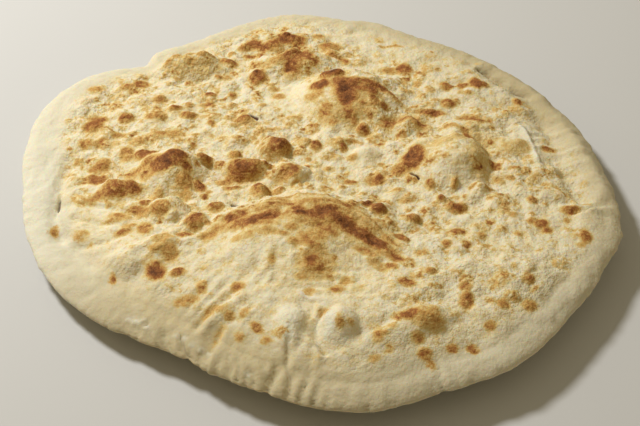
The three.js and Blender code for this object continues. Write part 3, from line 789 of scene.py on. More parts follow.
class Nodes:
    """Adds nodes to a tree and joins them, so that a finish reads as a list of steps."""

    def __init__(self, tree: bpy.types.NodeTree) -> None:
        """Keeps the tree that the nodes go in."""
        self.tree = tree

    def add(self, kind: str, **settings: object) -> bpy.types.Node:
        """Adds a node.

        Args:
            kind: the node's type, without its ShaderNode prefix.
            settings: properties of the node and their values.

        Returns:
            The node.
        """
        node = self.tree.nodes.new("ShaderNode" + kind)
        for key, value in settings.items():
            setattr(node, key, value)
        return node

    def join(self, source: object, target: Socket) -> None:
        """Links a socket to a target, or sets the target to a plain value.

        Args:
            source: the socket or the value.
            target: the socket that takes it.
        """
        if isinstance(source, Socket):
            self.tree.links.new(source, target)
        else:
            target.default_value = source

    def math(self, operation: str, first: object, second: object) -> Socket:
        """Works a math operation on two values.

        Args:
            operation: the operation's name.
            first: the first socket or value.
            second: the second socket or value.

        Returns:
            The result.
        """
        node = self.add("Math", operation=operation)
        self.join(first, node.inputs[0])
        self.join(second, node.inputs[1])
        return node.outputs[0]

    def sum(self, first: object, second: object) -> Socket:
        """The sum of two values."""
        return self.math("ADD", first, second)

    def less(self, first: object, second: object) -> Socket:
        """The first value less the second."""
        return self.math("SUBTRACT", first, second)

    def times(self, first: object, second: object) -> Socket:
        """The product of two values."""
        return self.math("MULTIPLY", first, second)

    def most(self, first: object, second: object) -> Socket:
        """The larger of two values."""
        return self.math("MAXIMUM", first, second)

    def noise(self, place: object, size: float, detail: float = 2.0) -> Socket:
        """Adds noise between 0 and 1.

        Args:
            place: where on the piece it is looked up.
            size: the size of its lumps, in millimetres.
            detail: how many finer layers it has.

        Returns:
            The noise.
        """
        node = self.add("TexNoise")
        self.join(place, node.inputs["Vector"])
        node.inputs["Scale"].default_value = 1.0 / (size * MM)
        node.inputs["Detail"].default_value = detail
        return node.outputs["Fac"]

    def attribute(self, name: str) -> Socket:
        """The value of one of the mesh's own attributes."""
        return self.add("Attribute", attribute_name=name).outputs["Fac"]

    def spread(self, value: object, low: float, high: float) -> Socket:
        """Rises from 0 to 1 as a value goes from one level to another.

        Args:
            value: the value.
            low: the level where the rise starts.
            high: the level where it ends.

        Returns:
            The risen value.
        """
        node = self.add("MapRange", interpolation_type="SMOOTHSTEP")
        self.join(value, node.inputs["Value"])
        node.inputs["From Min"].default_value = low
        node.inputs["From Max"].default_value = high
        return node.outputs["Result"]

    def ramp(self, value: object, stops: tuple) -> Socket:
        """Picks a colour by a value.

        Args:
            value: the value, 0 to 1.
            stops: pairs of a place along the ramp and the colour there.

        Returns:
            The colour.
        """
        node = self.add("ValToRGB")
        band = node.color_ramp
        while len(band.elements) < len(stops):
            band.elements.new(1.0)
        for element, (place, shade) in zip(band.elements, stops):
            element.position = place
            element.color = shade
        self.join(value, node.inputs["Fac"])
        return node.outputs["Color"]

    def mix(self, share: object, first: object, second: object) -> Socket:
        """Blends two colours.

        Args:
            share: how much of the second there is, 0 to 1.
            first: the first colour.
            second: the second colour.

        Returns:
            The blend.
        """
        node = self.add("Mix", data_type="RGBA")
        self.join(share, node.inputs["Factor"])
        self.join(first, node.inputs["A"])
        self.join(second, node.inputs["B"])
        return node.outputs["Result"]


@dataclass(frozen=True)
class DoughGrain:
    """The fine grain of baked dough: the sizes of its coarse and fine lumps and of its beads, in
    millimetres, and how much of the fine lumps and of the beads there is."""

    coarse_size: float = 1.7
    fine_size: float = 0.8
    bead_size: float = 2.2
    fine_share: float = 0.5
    bead_share: float = 0.45

    def build(self) -> bpy.types.NodeTree:
        """Makes the node group that a finish takes the grain from.

        Returns:
            The group, which turns a place into a height and a speckle.
        """
        tree = bpy.data.node_groups.new(GRAIN, "ShaderNodeTree")
        face = tree.interface
        face.new_socket("Place", in_out="INPUT", socket_type="NodeSocketVector")
        face.new_socket("Height", in_out="OUTPUT", socket_type="NodeSocketFloat")
        face.new_socket("Speckle", in_out="OUTPUT", socket_type="NodeSocketFloat")
        nodes = Nodes(tree)
        place = tree.nodes.new("NodeGroupInput").outputs["Place"]
        outside = tree.nodes.new("NodeGroupOutput")
        coarse = nodes.noise(place, self.coarse_size)
        fine = nodes.noise(place, self.fine_size)
        beads = nodes.add("TexVoronoi")
        nodes.join(place, beads.inputs["Vector"])
        beads.inputs["Scale"].default_value = 1.0 / (self.bead_size * MM)
        height = nodes.sum(coarse, nodes.times(fine, self.fine_share))
        height = nodes.less(height, nodes.times(beads.outputs["Distance"], self.bead_share))
        nodes.join(height, outside.inputs["Height"])
        nodes.join(fine, outside.inputs["Speckle"])
        return tree


@dataclass(frozen=True)
class CrustFinish:
    """The finish of the crust: its colours from raw flour to the darkest scorch, with a painted shade
    near the edge and in the cracks and a flour colour that is partly a painted highlight, how its
    toast and gold break up, with sizes in millimetres, and how it takes the light. Each span is two
    levels that something comes in between."""

    name: str = "toasted_crust"
    # the colour of flour, laid also as a painted highlight on the lit rim and on lit slopes
    flour_and_highlight: Colour = colour(224, 219, 197)
    dough: Colour = colour(204, 187, 143)
    # the palest dough; the painted highlight on the grain's crests pulls the crust towards it
    pale: Colour = colour(232, 224, 197)
    cream: Colour = colour(233, 220, 182)
    straw: Colour = colour(220, 194, 130)
    gold: Colour = colour(199, 157, 87)
    # painted shade, a grey-brown laid on the crust towards the edge
    painted_edge_shade: Colour = colour(170, 155, 116)
    brown: Colour = colour(157, 100, 50)
    dark: Colour = colour(115, 70, 36)
    # the darkest scorch, used also as the painted shade in cracks and creases
    char_and_crack_shade: Colour = colour(86, 50, 26)
    blotch_size: float = 6.0
    mottle_size: float = 2.4
    cluster_size: float = 14.0
    detail: float = 3.0
    strata_scale: tuple[float, float, float] = (0.3, 0.3, 2.4)
    cluster_span: tuple[float, float] = (0.3, 0.7)
    freckle_size: float = 3.2
    freckle_detail: float = 4.0
    freckle_span: tuple[float, float] = (0.5, 0.66)
    freckle_share: float = 0.33
    broken_span: tuple[float, float] = (0.36, 0.64)
    gold_least: float = 0.34
    gold_broken: float = 0.6
    toast_power: float = 0.85
    toast_share: float = 0.7
    grain_shade_share: float = 0.19
    uneven_least: float = 0.2
    uneven_share: float = 0.5
    bare_span: tuple[float, float] = (0.12, 0.45)
    painted_crack_shade_span: tuple[float, float] = (0.2, 0.75)
    dough_share: float = 0.72
    bump: float = 0.8
    bump_least: float = 0.38
    bump_share: float = 0.88
    roughness: float = 0.78
    shine: float = 0.2
    glow: float = 0.4
    glow_depth: float = 2.2
    glow_spread: tuple[float, float, float] = (1.0, 0.55, 0.25)

    def heat(self, nodes: Nodes, place: Socket, speckle: Socket) -> Socket:
        """How far the oven has taken each place of the crust, 0 to 1.

        Args:
            nodes: the material's nodes.
            place: the place on the piece.
            speckle: the speckle of the dough's grain.

        Returns:
            The heat, broken up as real toast is.
        """
        blotch = nodes.noise(place, self.blotch_size, self.detail)
        mottle = nodes.noise(place, self.mottle_size, self.detail)
        layered = nodes.add("Mapping")
        nodes.join(place, layered.inputs["Vector"])
        layered.inputs["Scale"].default_value = self.strata_scale
        strata = nodes.noise(layered.outputs["Vector"], self.mottle_size)
        cluster = nodes.spread(nodes.noise(place, self.cluster_size), *self.cluster_span)
        freckle = nodes.noise(place, self.freckle_size, self.freckle_detail)
        freckle = nodes.spread(freckle, *self.freckle_span)
        freckle = nodes.times(nodes.times(freckle, cluster), nodes.attribute("warm"))
        broken = nodes.times(nodes.spread(mottle, *self.broken_span), self.gold_broken)
        gold = nodes.times(nodes.attribute("gold"), nodes.sum(broken, self.gold_least))
        gold = nodes.most(gold, nodes.times(freckle, self.freckle_share))
        toast = nodes.math("POWER", nodes.attribute("toast"), self.toast_power)
        heat = nodes.most(nodes.times(toast, self.toast_share), gold)
        # painted shade and highlight: the grain's hollows are warmed towards toast and its crests paled
        heat = nodes.sum(heat, nodes.times(nodes.attribute("grain_shade_and_highlight"), self.grain_shade_share))
        uneven = nodes.sum(nodes.sum(blotch, mottle), nodes.sum(speckle, strata))
        uneven = nodes.less(uneven, 2.0)  # four noises round 0.5 come to 2
        reach = nodes.sum(nodes.times(heat, self.uneven_share), self.uneven_least)
        return nodes.sum(heat, nodes.times(uneven, reach))

    def shade(self, nodes: Nodes, heat: Socket) -> Socket:
        """The colour of the crust.

        Args:
            nodes: the material's nodes.
            heat: how far the oven has taken each place.

        Returns:
            The colour: by heat, then raw at the rim, painted shade near the edge, flour with a
            painted highlight in places, and painted shade in the cracks.
        """
        stops = (
            (0.0, self.pale),
            (0.1, self.cream),
            (0.25, self.straw),
            (0.44, self.gold),
            (0.64, self.brown),
            (0.86, self.dark),
            (1.0, self.char_and_crack_shade),
        )
        bare = nodes.less(1.0, nodes.spread(heat, *self.bare_span))
        raw = nodes.times(nodes.attribute("rim"), nodes.times(bare, self.dough_share))
        shade = nodes.mix(raw, nodes.ramp(heat, stops), self.dough)
        # painted shade, darker towards the edge
        shade = nodes.mix(nodes.times(nodes.attribute("painted_edge_shade"), bare), shade, self.painted_edge_shade)
        # flour whitens the crust: real dusting, tears and crumbs, and a painted highlight on the lit rim
        # and lit slopes
        shade = nodes.mix(nodes.times(nodes.attribute("flour_and_highlight"), bare), shade, self.flour_and_highlight)
        # painted shade darkens the cracks and creases
        return nodes.mix(nodes.spread(nodes.attribute("painted_crack_shade"), *self.painted_crack_shade_span), shade, self.char_and_crack_shade)

    def build(self) -> bpy.types.Material:
        """Makes the toasted crust's material.

        Returns:
            The material.
        """
        material = bpy.data.materials.new(self.name)
        material.use_nodes = True
        nodes = Nodes(material.node_tree)
        shader = material.node_tree.nodes["Principled BSDF"]
        place = nodes.add("TexCoord").outputs["Object"]
        grain = nodes.add("Group", node_tree=bpy.data.node_groups[GRAIN])
        nodes.join(place, grain.inputs["Place"])
        heat = self.heat(nodes, place, grain.outputs["Speckle"])
        nodes.join(self.shade(nodes, heat), shader.inputs["Base Color"])
        shader.inputs["Roughness"].default_value = self.roughness
        shader.inputs["Specular IOR Level"].default_value = self.shine
        shader.inputs["Subsurface Weight"].default_value = self.glow
        shader.inputs["Subsurface Radius"].default_value = self.glow_spread
        shader.inputs["Subsurface Scale"].default_value = self.glow_depth * MM
        bump = nodes.add("Bump")
        bump.inputs["Strength"].default_value = 1.0
        bump.inputs["Distance"].default_value = self.bump * MM
        coarse = nodes.sum(nodes.times(nodes.attribute("warm"), self.bump_share), self.bump_least)
        nodes.join(nodes.times(grain.outputs["Height"], coarse), bump.inputs["Height"])
        nodes.join(bump.outputs["Normal"], shader.inputs["Normal"])
        return material


@dataclass
class Dough:
    """The pressed dough before it puffs. Each array has one entry for each point of its skin: the
    point and the way out of the dough there, in rows; its direction from the pole in degrees; how
    far it lies in from a margin along the edge; and how far it belongs to the upper and the lower
    face, 0 to 1."""

    place: np.ndarray
    out: np.ndarray
    direction: np.ndarray
    inset: np.ndarray
    top: np.ndarray
    under: np.ndarray

    def flat(self) -> np.ndarray:
        """The points laid flat, so that lumps over them are the same all the way down."""
        return self.place * np.array((1.0, 1.0, 0.0))

    def hush(self) -> np.ndarray:
        """How much of the blistering the calm places leave at each point.

        Returns:
            The share left, 0 to 1.
        """
        left = np.ones(len(self.place))
        for calm in CALMS:
            left *= calm.hush(self.place[:, 0], self.place[:, 1])
        return left


@dataclass
class Crust:
    """The crust as it puffs and browns: places across the dough and how far features stray there,
    in millimetres, and at each place how far it has risen, how toasted and golden it is, how much
    painted shade darkens its creases and how much flour colour it takes. Blisters stray more the
    larger they are, but no more than the rest, and creases a half as much. The margins say how far
    past its toast a blister or a pebble is worked out."""

    x: np.ndarray
    y: np.ndarray
    wander_x: np.ndarray
    wander_y: np.ndarray
    blister_stray: float = 0.15
    crease_stray: float = 0.5
    blister_margin: float = 3.0
    pebble_margin: float = 1.0
    crumb_rise: float = 0.9
    relief: np.ndarray = field(init=False)
    folds: np.ndarray = field(init=False)
    pebbles: np.ndarray = field(init=False)
    toast: np.ndarray = field(init=False)
    gold: np.ndarray = field(init=False)
    dark: np.ndarray = field(init=False)
    raw: np.ndarray = field(init=False)
    tree: kdtree.KDTree = field(init=False)

    def __post_init__(self) -> None:
        """Starts with a plain crust, and sorts its places so that a blister finds those it covers."""
        count = len(self.x)
        for name in ("relief", "folds", "pebbles", "toast", "gold", "dark", "raw"):
            setattr(self, name, np.zeros(count))
        self.tree = kdtree.KDTree(count)
        for index, (x, y) in enumerate(zip(self.x.tolist(), self.y.tolist())):
            self.tree.insert((x, y, 0.0), index)
        self.tree.balance()

    def covered(self, blister: Blister, margin: float) -> np.ndarray:
        """The numbers of the places that a blister's toast can reach, with a margin past them."""
        found = self.tree.find_range((blister.x, blister.y, 0.0), blister.halo() + margin)
        return np.array([index for _, index, _ in found], dtype=int)

    def raise_bubble(self, bubble: Bubble) -> None:
        """Puffs the crust up into a large bubble."""
        self.relief += bubble.height(self.x + self.wander_x, self.y + self.wander_y)

    def raise_blister(self, blister: Blister) -> None:
        """Raises and toasts a blister that has its own place.

        Args:
            blister: the blister.
        """
        found = self.covered(blister, self.blister_margin)
        wander = min(self.blister_stray * blister.reach, 1.0)
        x = self.x[found] + wander * self.wander_x[found]
        y = self.y[found] + wander * self.wander_y[found]
        near = blister.closeness(x, y)
        self.relief[found] += blister.rise * np.clip(near, 0.0, None) ** DOME
        self.toast[found] = np.maximum(self.toast[found], blister.toast * scorch(near))

    def raise_pebble(self, blister: Blister) -> None:
        """Raises one of the many small blisters that lie side by side all over.

        Args:
            blister: the small blister.
        """
        found = self.covered(blister, self.pebble_margin)
        near = blister.closeness(self.x[found], self.y[found])
        risen = blister.rise * np.clip(near, 0.0, None) ** DOME
        self.pebbles[found] = np.maximum(self.pebbles[found], risen)
        self.gold[found] = np.maximum(self.gold[found], blister.toast * scorch(near))

    def brown_streak(self, streak: Streak) -> None:
        """Toasts a band of the crust."""
        brown = streak.brownness(self.x + self.wander_x, self.y + self.wander_y)
        self.toast = np.maximum(self.toast, brown)

    def press_crease(self, crease: Crease) -> None:
        """Folds, opens or tears the crust along a line.

        Args:
            crease: the line and what it does to the crust.
        """
        x = self.x + self.crease_stray * self.wander_x
        y = self.y + self.crease_stray * self.wander_y
        fall = crease.fall(x, y)
        self.folds -= crease.depth * fall
        # painted shade inside the crease
        self.dark = np.maximum(self.dark, crease.dark * fall)
        self.raw = np.maximum(self.raw, crease.raw * fall)

    def wrinkle(self, wrinkles: Wrinkles) -> None:
        """Wrinkles a place of the crust."""
        self.folds += wrinkles.relief(self.x, self.y)

    def lay_lap(self, lap: Lap) -> None:
        """Lays one part of the dough over another."""
        self.relief += lap.height(self.x, self.y)

    def stick_crumb(self, x: float, y: float, size: float) -> None:
        """Sticks a crumb of dry flour to the crust, at a place and with a half width."""
        self.press_crease(Crease(((x, y), (x + size, y)), size, -self.crumb_rise, raw=1.0))


@dataclass
class Loaf:
    """The bread: its sizes in millimetres and directions in degrees, its lumps and its swarms of
    small blisters, how fine its mesh is and how it is shared out, and its finish."""

    # the pressed dough: its rim, its crown, and how its edge lifts off the floor
    rim_thickness: float = 10.0
    edge_margin: float = 5.5
    rim_swell: float = 1.6
    rim_width: float = 34.0
    crown: float = 3.0
    lift_mean: float = 6.5
    lift_swing: float = 5.0
    lift_direction: float = 310.0
    flat_radius: float = 62.0
    # how far in from the edge the relief, the toast and the painted shade of the edge change
    fade_width: float = 15.0
    toast_margin: float = 7.0
    painted_shade_width: float = 20.0
    # the smooth rim and the calm places, as shares of the rest
    narrowest_rim: float = 1.0
    rim_core: float = 0.4
    rim_roughness: float = 0.4
    calm_roughness: float = 0.3
    calm_warmth: float = 0.25
    # the least that a point belongs to a face to be baked with it
    upper_least: float = 0.02
    lower_least: float = 0.3
    # the lumps that the features stray by and that the crust rises in
    stray_x: tuple[Lumps, ...] = (Lumps(0.8, 22.0, 2, 3.1), Lumps(1.0, 7.0, 2, 8.3))
    stray_y: tuple[Lumps, ...] = (Lumps(0.8, 22.0, 2, 5.7), Lumps(1.0, 7.0, 2, 9.9))
    broad_lumps: Lumps = Lumps(1.4, 34.0, 2, 1.3)
    small_lumps: Lumps = Lumps(2.2, 10.0, 1, 2.9)
    skin_grain: Lumps = Lumps(0.6, 5.5, 1, 6.1)
    rim_waver: Lumps = Lumps(5.0, 20.0, 2, 7.7)
    # the grain level between painted shade in its hollows and painted highlight on its crests
    grain_shade_level: float = 0.5
    # the thicker roll of dough at the front
    roll: float = 9.0
    roll_width: float = 42.0
    roll_fade: float = 50.0
    roll_direction: float = 265.0
    roll_narrowness: float = 1.5
    # the edge's lumps, pleats and bites
    edge_radius: float = 150.0
    edge_lumps: tuple[Lumps, ...] = (Lumps(0.7, 18.0, 3, 4.4), Lumps(0.5, 5.0, 2, 4.9))
    pleats: Lumps = Lumps(1.0, 7.0, 2, 2.2)
    pleat_slimness: float = 0.25
    pleat_width: float = 0.22
    pleat_least: float = 0.25
    pleat_depth: float = 1.1
    pleat_reach: float = 9.0
    pleat_direction: float = 254.0
    pleat_spread: float = 30.0
    bite_reach: float = 5.0
    # the small blisters of both faces
    top_swarms: tuple[Swarm, ...] = (Swarm(110, 134.0, 3.8, 6.5), Swarm(3000, 146.0, 1.5, 4.0))
    sole_swarm: Swarm = Swarm(420, 125.0, 2.5, 8.0)
    sole_toast: float = 1.5
    seed: int = 7
    # the mesh: the cuts in each edge of the ball, and how much of it each face and the edge take
    cuts: int = 96
    top_share: float = 0.68
    edge_share: float = 0.12
    finish: CrustFinish = field(default_factory=CrustFinish)

    def outline_radius(self, direction: np.ndarray) -> np.ndarray:
        """The edge's distance from the pole, a smooth closed curve through the outline's points.

        Args:
            direction: the directions asked for, in degrees.

        Returns:
            The distance in each direction, in millimetres.
        """
        angles = np.array([angle for angle, _ in OUTLINE], float)
        radii = np.array([radius for _, radius in OUTLINE], float)
        within = np.mod(direction, 360.0)
        start = np.searchsorted(angles, within, side="right") - 1
        end = (start + 1) % len(angles)
        run = np.mod(np.roll(angles, -1) - np.roll(angles, 1), 360.0)
        slope = (np.roll(radii, -1) - np.roll(radii, 1)) / run
        span = np.mod(angles[end] - angles[start], 360.0)
        t = (within - angles[start]) / span
        return (
            radii[start] * (2 * t**3 - 3 * t**2 + 1)
            + slope[start] * span * (t**3 - 2 * t**2 + t)
            + radii[end] * (3 * t**2 - 2 * t**3)
            + slope[end] * span * (t**3 - t**2)
        )

    def lift(self, direction: np.ndarray, share: np.ndarray) -> np.ndarray:
        """The gap under the dough in each direction, for a share of the way out."""
        lean = np.cos(np.radians(direction - self.lift_direction))
        return self.lift_mean + self.lift_swing * share * lean

    def ball(self) -> bmesh.types.BMesh:
        """A ball of even small triangles, which the loaf is pressed from.

        Returns:
            The ball's mesh, 1 in radius.
        """
        skin = bmesh.new()
        bmesh.ops.create_icosphere(skin, subdivisions=1, radius=1.0)
        bmesh.ops.subdivide_edges(skin, edges=skin.edges[:], cuts=self.cuts, use_grid_fill=True)
        return skin

    def press(self, ball: np.ndarray) -> Dough:
        """Presses points of the ball into the plain loaf.

        Args:
            ball: points of a ball round the origin, one row each.

        Returns:
            The pressed dough.
        """
        unit = ball / np.linalg.norm(ball, axis=1)[:, None]
        direction = np.degrees(np.arctan2(unit[:, 1], unit[:, 0]))
        level = np.hypot(unit[:, 0], unit[:, 1])
        outward = unit[:, :2] / np.maximum(level, TINY)[:, None]
        depth = (1.0 - unit[:, 2]) / 2.0
        outer = self.outline_radius(direction)
        edge = around(EDGE_DEPTHS, direction)
        inner = outer - edge

        above = depth < self.top_share
        below = depth > self.top_share + self.edge_share
        low_share = 1.0 - self.top_share - self.edge_share
        share = np.ones_like(depth)
        share[above] = np.sqrt(depth[above] / self.top_share)
        share[below] = np.sqrt((1.0 - depth[below]) / low_share)
        angle = np.pi * (0.5 - (depth - self.top_share) / self.edge_share)
        angle = np.clip(angle, -np.pi / 2, np.pi / 2)

        steep = np.abs(np.sin(angle)) ** around(EDGE_ROUNDS, direction)
        distance = inner * share + edge * np.sqrt(1.0 - steep)
        inset = inner * (1.0 - share)
        half = self.rim_thickness / 2.0
        shoulder = (1.0 + np.cos(np.pi * np.minimum(inset / self.rim_width, 1.0))) / 2.0
        front = np.clip(np.cos(np.radians(direction - self.roll_direction)), 0.0, 1.0)
        front = front**self.roll_narrowness
        rolled = 1.0 - np.clip(1.0 - inset / self.roll_width, 0.0, 1.0) ** 2
        rolled *= 1.0 - ease((inset - self.roll_width) / self.roll_fade)
        high = (
            self.rim_thickness
            + self.lift(direction, share)
            + self.crown * (1.0 - share**2)
            - self.rim_swell * (1.0 - front) * (1.0 - shoulder)
            + self.roll * front * rolled
        )
        rise = (inner * share - self.flat_radius) / (inner - self.flat_radius)
        low = self.lift(direction, np.ones_like(share)) * ease(rise)
        side = self.lift(direction, share) + half + half * np.sin(angle)
        height = np.where(above, high, np.where(below, low, side))

        lean = np.cos(angle) / edge
        stand = np.sin(angle) / half
        length = np.hypot(lean, stand)
        out = np.column_stack((outward * (lean / length)[:, None], stand / length))
        return Dough(
            place=np.column_stack((outward * distance[:, None], height)),
            out=out,
            direction=np.mod(direction, 360.0),
            inset=np.clip(outer - distance - self.edge_margin, 0.0, None),
            top=np.clip(out[:, 2], 0.0, 1.0),
            under=np.clip(-out[:, 2], 0.0, 1.0),
        )

    def bake_top(self, crust: Crust) -> None:
        """Puffs, toasts and folds the upper crust.

        Args:
            crust: the crust of the upper face, still plain.
        """
        for bubble in BUBBLES:
            crust.raise_bubble(bubble)
        for blister in BLISTERS:
            crust.raise_blister(blister)
        for streak in STREAKS:
            crust.brown_streak(streak)
        for swarm in self.top_swarms:
            for blister in swarm.strew(self.seed):
                crust.raise_pebble(blister)
        for crease in CREASES:
            crust.press_crease(crease)
        for wrinkles in WRINKLES:
            crust.wrinkle(wrinkles)
        for lap in LAPS:
            crust.lay_lap(lap)
        for x, y, size in CRUMBS:
            crust.stick_crumb(x, y, size)

    def puff(self, dough: Dough) -> dict[str, np.ndarray]:
        """Puffs and toasts the pressed dough.

        Args:
            dough: the pressed dough.

        Returns:
            The finished points as place, and for each how toasted, golden and warm it is, its painted
            shade in the grain's hollows and highlight on its crests, its flour with painted highlight, its
            painted shade near the edge, how raw it is as the rim, and its painted shade in cracks, 0 to
            about 1.
        """
        flat = dough.flat()
        wander_x = sum(lumps.over(flat) for lumps in self.stray_x)
        wander_y = sum(lumps.over(flat) for lumps in self.stray_y)
        x = dough.place[:, 0]
        y = dough.place[:, 1]
        upper = np.flatnonzero(dough.top > self.upper_least)
        lower = np.flatnonzero(dough.under > self.lower_least)
        crust = Crust(x[upper], y[upper], wander_x[upper], wander_y[upper])
        self.bake_top(crust)
        sole = Crust(x[lower], y[lower], wander_x[lower], wander_y[lower])
        for blister in self.sole_swarm.strew(self.seed):
            sole.raise_pebble(blister)

        inside = ease(dough.inset / self.fade_width) * (dough.top > 0.0)
        width = around(RIM_WIDTHS, dough.direction) + self.rim_waver.over(flat)
        width = np.maximum(width, self.narrowest_rim)
        core = self.rim_core * width
        middle = ease((dough.inset - core) / ((1.0 - self.rim_core) * width))
        hush = dough.hush()
        warm = self.calm_warmth + (1.0 - self.calm_warmth) * hush
        rough = self.rim_roughness + (1.0 - self.rim_roughness) * middle
        rough *= self.calm_roughness + (1.0 - self.calm_roughness) * hush
        lumps = self.broad_lumps.over(flat) + self.small_lumps.over(flat, rough)
        grain = np.abs(self.skin_grain.over(flat, rough))

        def over(values: np.ndarray) -> np.ndarray:
            """Spreads values over all the points.

            Args:
                values: one value for each point of the upper face.

            Returns:
                The same values there, and 0 elsewhere.
            """
            spread = np.zeros(len(x))
            spread[upper] = values
            return spread

        relief = over(crust.relief) + rough * over(crust.pebbles) + lumps + grain
        outward = self.edge_relief(dough) + over(crust.folds) * dough.top
        finished = dough.place + dough.out * outward[:, None]
        finished[:, 2] += relief * inside
        finished[:, 2] = np.maximum(finished[:, 2], 0.0)

        # flour on the rim, partly a painted highlight towards the lamp
        rim_flour_and_highlight = around(RIM_FLOUR_AND_HIGHLIGHT, dough.direction) * (1.0 - middle)
        # the painted shade of the edge fades inwards over this width
        near_edge = np.exp(-dough.inset / self.painted_shade_width)
        toast = over(crust.toast) * ease(dough.inset / self.toast_margin)
        toast[lower] = self.sole_toast * sole.gold
        return {
            "place": finished,
            "toast": toast,
            "gold": over(crust.gold) * inside * middle,
            "warm": warm * inside * middle,
            "grain_shade_and_highlight": (self.grain_shade_level - grain) * inside,
            "flour_and_highlight": np.clip(np.maximum(rim_flour_and_highlight, over(crust.raw)), 0.0, 1.0),
            "painted_edge_shade": around(RIM_PAINTED_SHADE, dough.direction) * near_edge * (1.0 - dough.under),
            "rim": 1.0 - middle * inside,
            "painted_crack_shade": over(crust.dark),
        }

    def edge_relief(self, dough: Dough) -> np.ndarray:
        """How far the edge bulges, puckers and is bitten, outwards, in millimetres.

        Args:
            dough: the pressed dough.

        Returns:
            The way out at each point, which dies away from the edge inwards.
        """
        direction = dough.direction
        rounding = np.radians(direction) * self.edge_radius
        inwards = dough.inset * self.pleat_slimness
        strip = np.column_stack((rounding, inwards, np.zeros_like(rounding)))
        ridged = np.clip(1.0 - np.abs(self.pleats.over(strip)) / self.pleat_width, 0.0, 1.0)
        front = np.exp(-(((direction - self.pleat_direction) / self.pleat_spread) ** 2))
        near_edge = np.exp(-((dough.inset / self.pleat_reach) ** 2)) * (1.0 - dough.under)
        pucker = -(self.pleat_least + self.pleat_depth * front) * ridged**2 * near_edge
        swell = sum(lumps.over(dough.place) for lumps in self.edge_lumps)
        bites = np.zeros_like(direction)
        for middle, depth, width in EDGE_BITES:
            bites -= depth * np.exp(-(((direction - middle) / width) ** 2))
        bites *= np.exp(-((dough.inset / self.bite_reach) ** 2)) * (1.0 - dough.top) ** 0.5
        return swell * (1.0 - dough.under) + pucker + bites

    def middle(self) -> np.ndarray:
        """The middle of the outline's box.

        Returns:
            Its x, y and z from the pole, in millimetres.
        """
        steps = 1440
        direction = np.linspace(0.0, 360.0, steps, endpoint=False)
        radius = self.outline_radius(direction)
        x = radius * np.cos(np.radians(direction))
        y = radius * np.sin(np.radians(direction))
        return np.array(((x.min() + x.max()) / 2.0, (y.min() + y.max()) / 2.0, 0.0))

    def pole(self) -> Vector:
        """Where the pole of the dough lies in the frame.

        Returns:
            The place, in metres.
        """
        low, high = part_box(NODE)
        centre = (low + high) / 2.0
        shift = Vector(self.middle()) * MM
        return Vector((centre.x - shift.x, centre.y - shift.y, low.z))

    def build(self) -> bpy.types.Object:
        """Makes the loaf's skin and its crust, and puts it in the frame.

        Returns:
            The skin.
        """
        skin = self.ball()
        ball = np.array([vertex.co for vertex in skin.verts])
        baked = self.puff(self.press(ball))
        mesh = bpy.data.meshes.new("laffa_skin")
        skin.to_mesh(mesh)
        skin.free()
        points = baked.pop("place") * MM + np.array(self.pole())
        mesh.vertices.foreach_set("co", points.astype(np.float32).ravel())
        for name, values in baked.items():
            stored = mesh.attributes.new(name, "FLOAT", "POINT")
            stored.data.foreach_set("value", values.astype(np.float32))
        mesh.polygons.foreach_set("use_smooth", np.ones(len(mesh.polygons), bool))
        mesh.update()
        piece = bpy.data.objects.new("laffa_skin", mesh)
        bpy.context.scene.collection.objects.link(piece)
        mesh.materials.append(self.finish.build())
        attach(piece, BODY)
        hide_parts(NODE)
        return piece


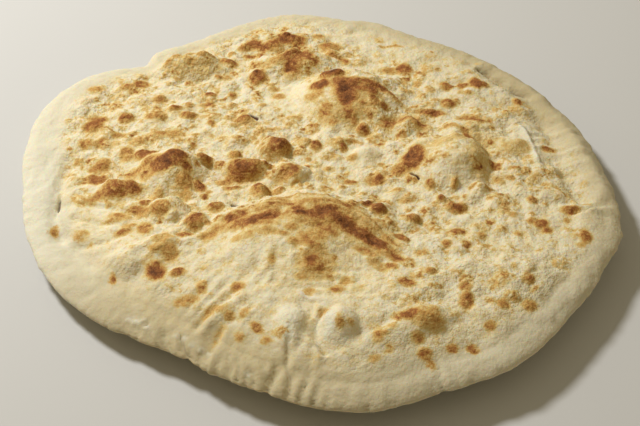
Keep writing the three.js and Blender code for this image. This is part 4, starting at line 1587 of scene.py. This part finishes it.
@dataclass
class Studio:
    """A pale floor, a soft lamp at the back left, a little light from all round, and the camera.
    Its lengths are in metres, its camera's height in degrees and its lens in millimetres."""

    floor_reach: float = 3.0
    floor_shade: Colour = colour(206, 205, 202)
    floor_roughness: float = 0.9
    lamp_place: tuple[float, float, float] = (-0.644, 0.462, 0.91)
    lamp_size: float = 0.224
    lamp_power: float = 12.8
    sky: float = 0.30
    sky_shade: Colour = (1.0, 0.865, 0.58, 1.0)
    camera_target: tuple[float, float, float] = (0.00302, -0.02576, 0.010)
    camera_distance: float = 0.850
    camera_height: float = 42.0
    lens: float = 91.6

    def build(self, pole: Vector) -> None:
        """Sets the studio up round the bread.

        Args:
            pole: where the pole of the dough lies, in metres.
        """
        self.lay_floor()
        self.hang_lamp()
        self.set_camera(pole)

    def lay_floor(self) -> None:
        """Lays a plain pale floor at the height that the bread rests on."""
        plate = bmesh.new()
        bmesh.ops.create_grid(plate, x_segments=1, y_segments=1, size=self.floor_reach)
        mesh = bpy.data.meshes.new("floor")
        plate.to_mesh(mesh)
        plate.free()
        floor = bpy.data.objects.new("floor", mesh)
        bpy.context.scene.collection.objects.link(floor)
        material = bpy.data.materials.new("pale_floor")
        material.use_nodes = True
        shader = material.node_tree.nodes["Principled BSDF"]
        shader.inputs["Base Color"].default_value = self.floor_shade
        shader.inputs["Roughness"].default_value = self.floor_roughness
        mesh.materials.append(material)

    def hang_lamp(self) -> None:
        """Hangs the soft lamp and sets the light from all round."""
        lamp = bpy.data.lights.new("soft_lamp", "AREA")
        lamp.shape = "DISK"
        lamp.size = self.lamp_size
        lamp.energy = self.lamp_power
        hung = bpy.data.objects.new("soft_lamp", lamp)
        hung.location = self.lamp_place
        hung.rotation_euler = (-Vector(self.lamp_place)).to_track_quat("-Z", "Y").to_euler()
        bpy.context.scene.collection.objects.link(hung)
        world = bpy.data.worlds.new("studio")
        world.use_nodes = True
        sky = world.node_tree.nodes["Background"]
        sky.inputs["Color"].default_value = self.sky_shade
        sky.inputs["Strength"].default_value = self.sky
        bpy.context.scene.world = world
        bpy.context.scene.view_settings.view_transform = "Standard"

    def set_camera(self, pole: Vector) -> None:
        """Sets the camera, looking down at the bread from the front.

        Args:
            pole: where the pole of the dough lies, in metres.
        """
        height = math.radians(self.camera_height)
        back = Vector((0.0, -math.cos(height), math.sin(height)))
        eye = bpy.data.cameras.new("camera")
        eye.lens = self.lens
        camera = bpy.data.objects.new("camera", eye)
        camera.location = pole + Vector(self.camera_target) + back * self.camera_distance
        camera.rotation_euler = (-back).to_track_quat("-Z", "Y").to_euler()
        bpy.context.scene.collection.objects.link(camera)
        bpy.context.scene.camera = camera


def main() -> None:
    """Builds the bread and its studio, and writes down how large the looks are."""
    logging.basicConfig(level=logging.INFO, format="%(message)s")
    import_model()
    DoughGrain().build()
    loaf = Loaf()
    skin = loaf.build()
    LOG.info("%s: %d triangles", skin.name, len(skin.data.polygons))
    Studio().build(loaf.pole())


if __name__ == "__main__":
    main()
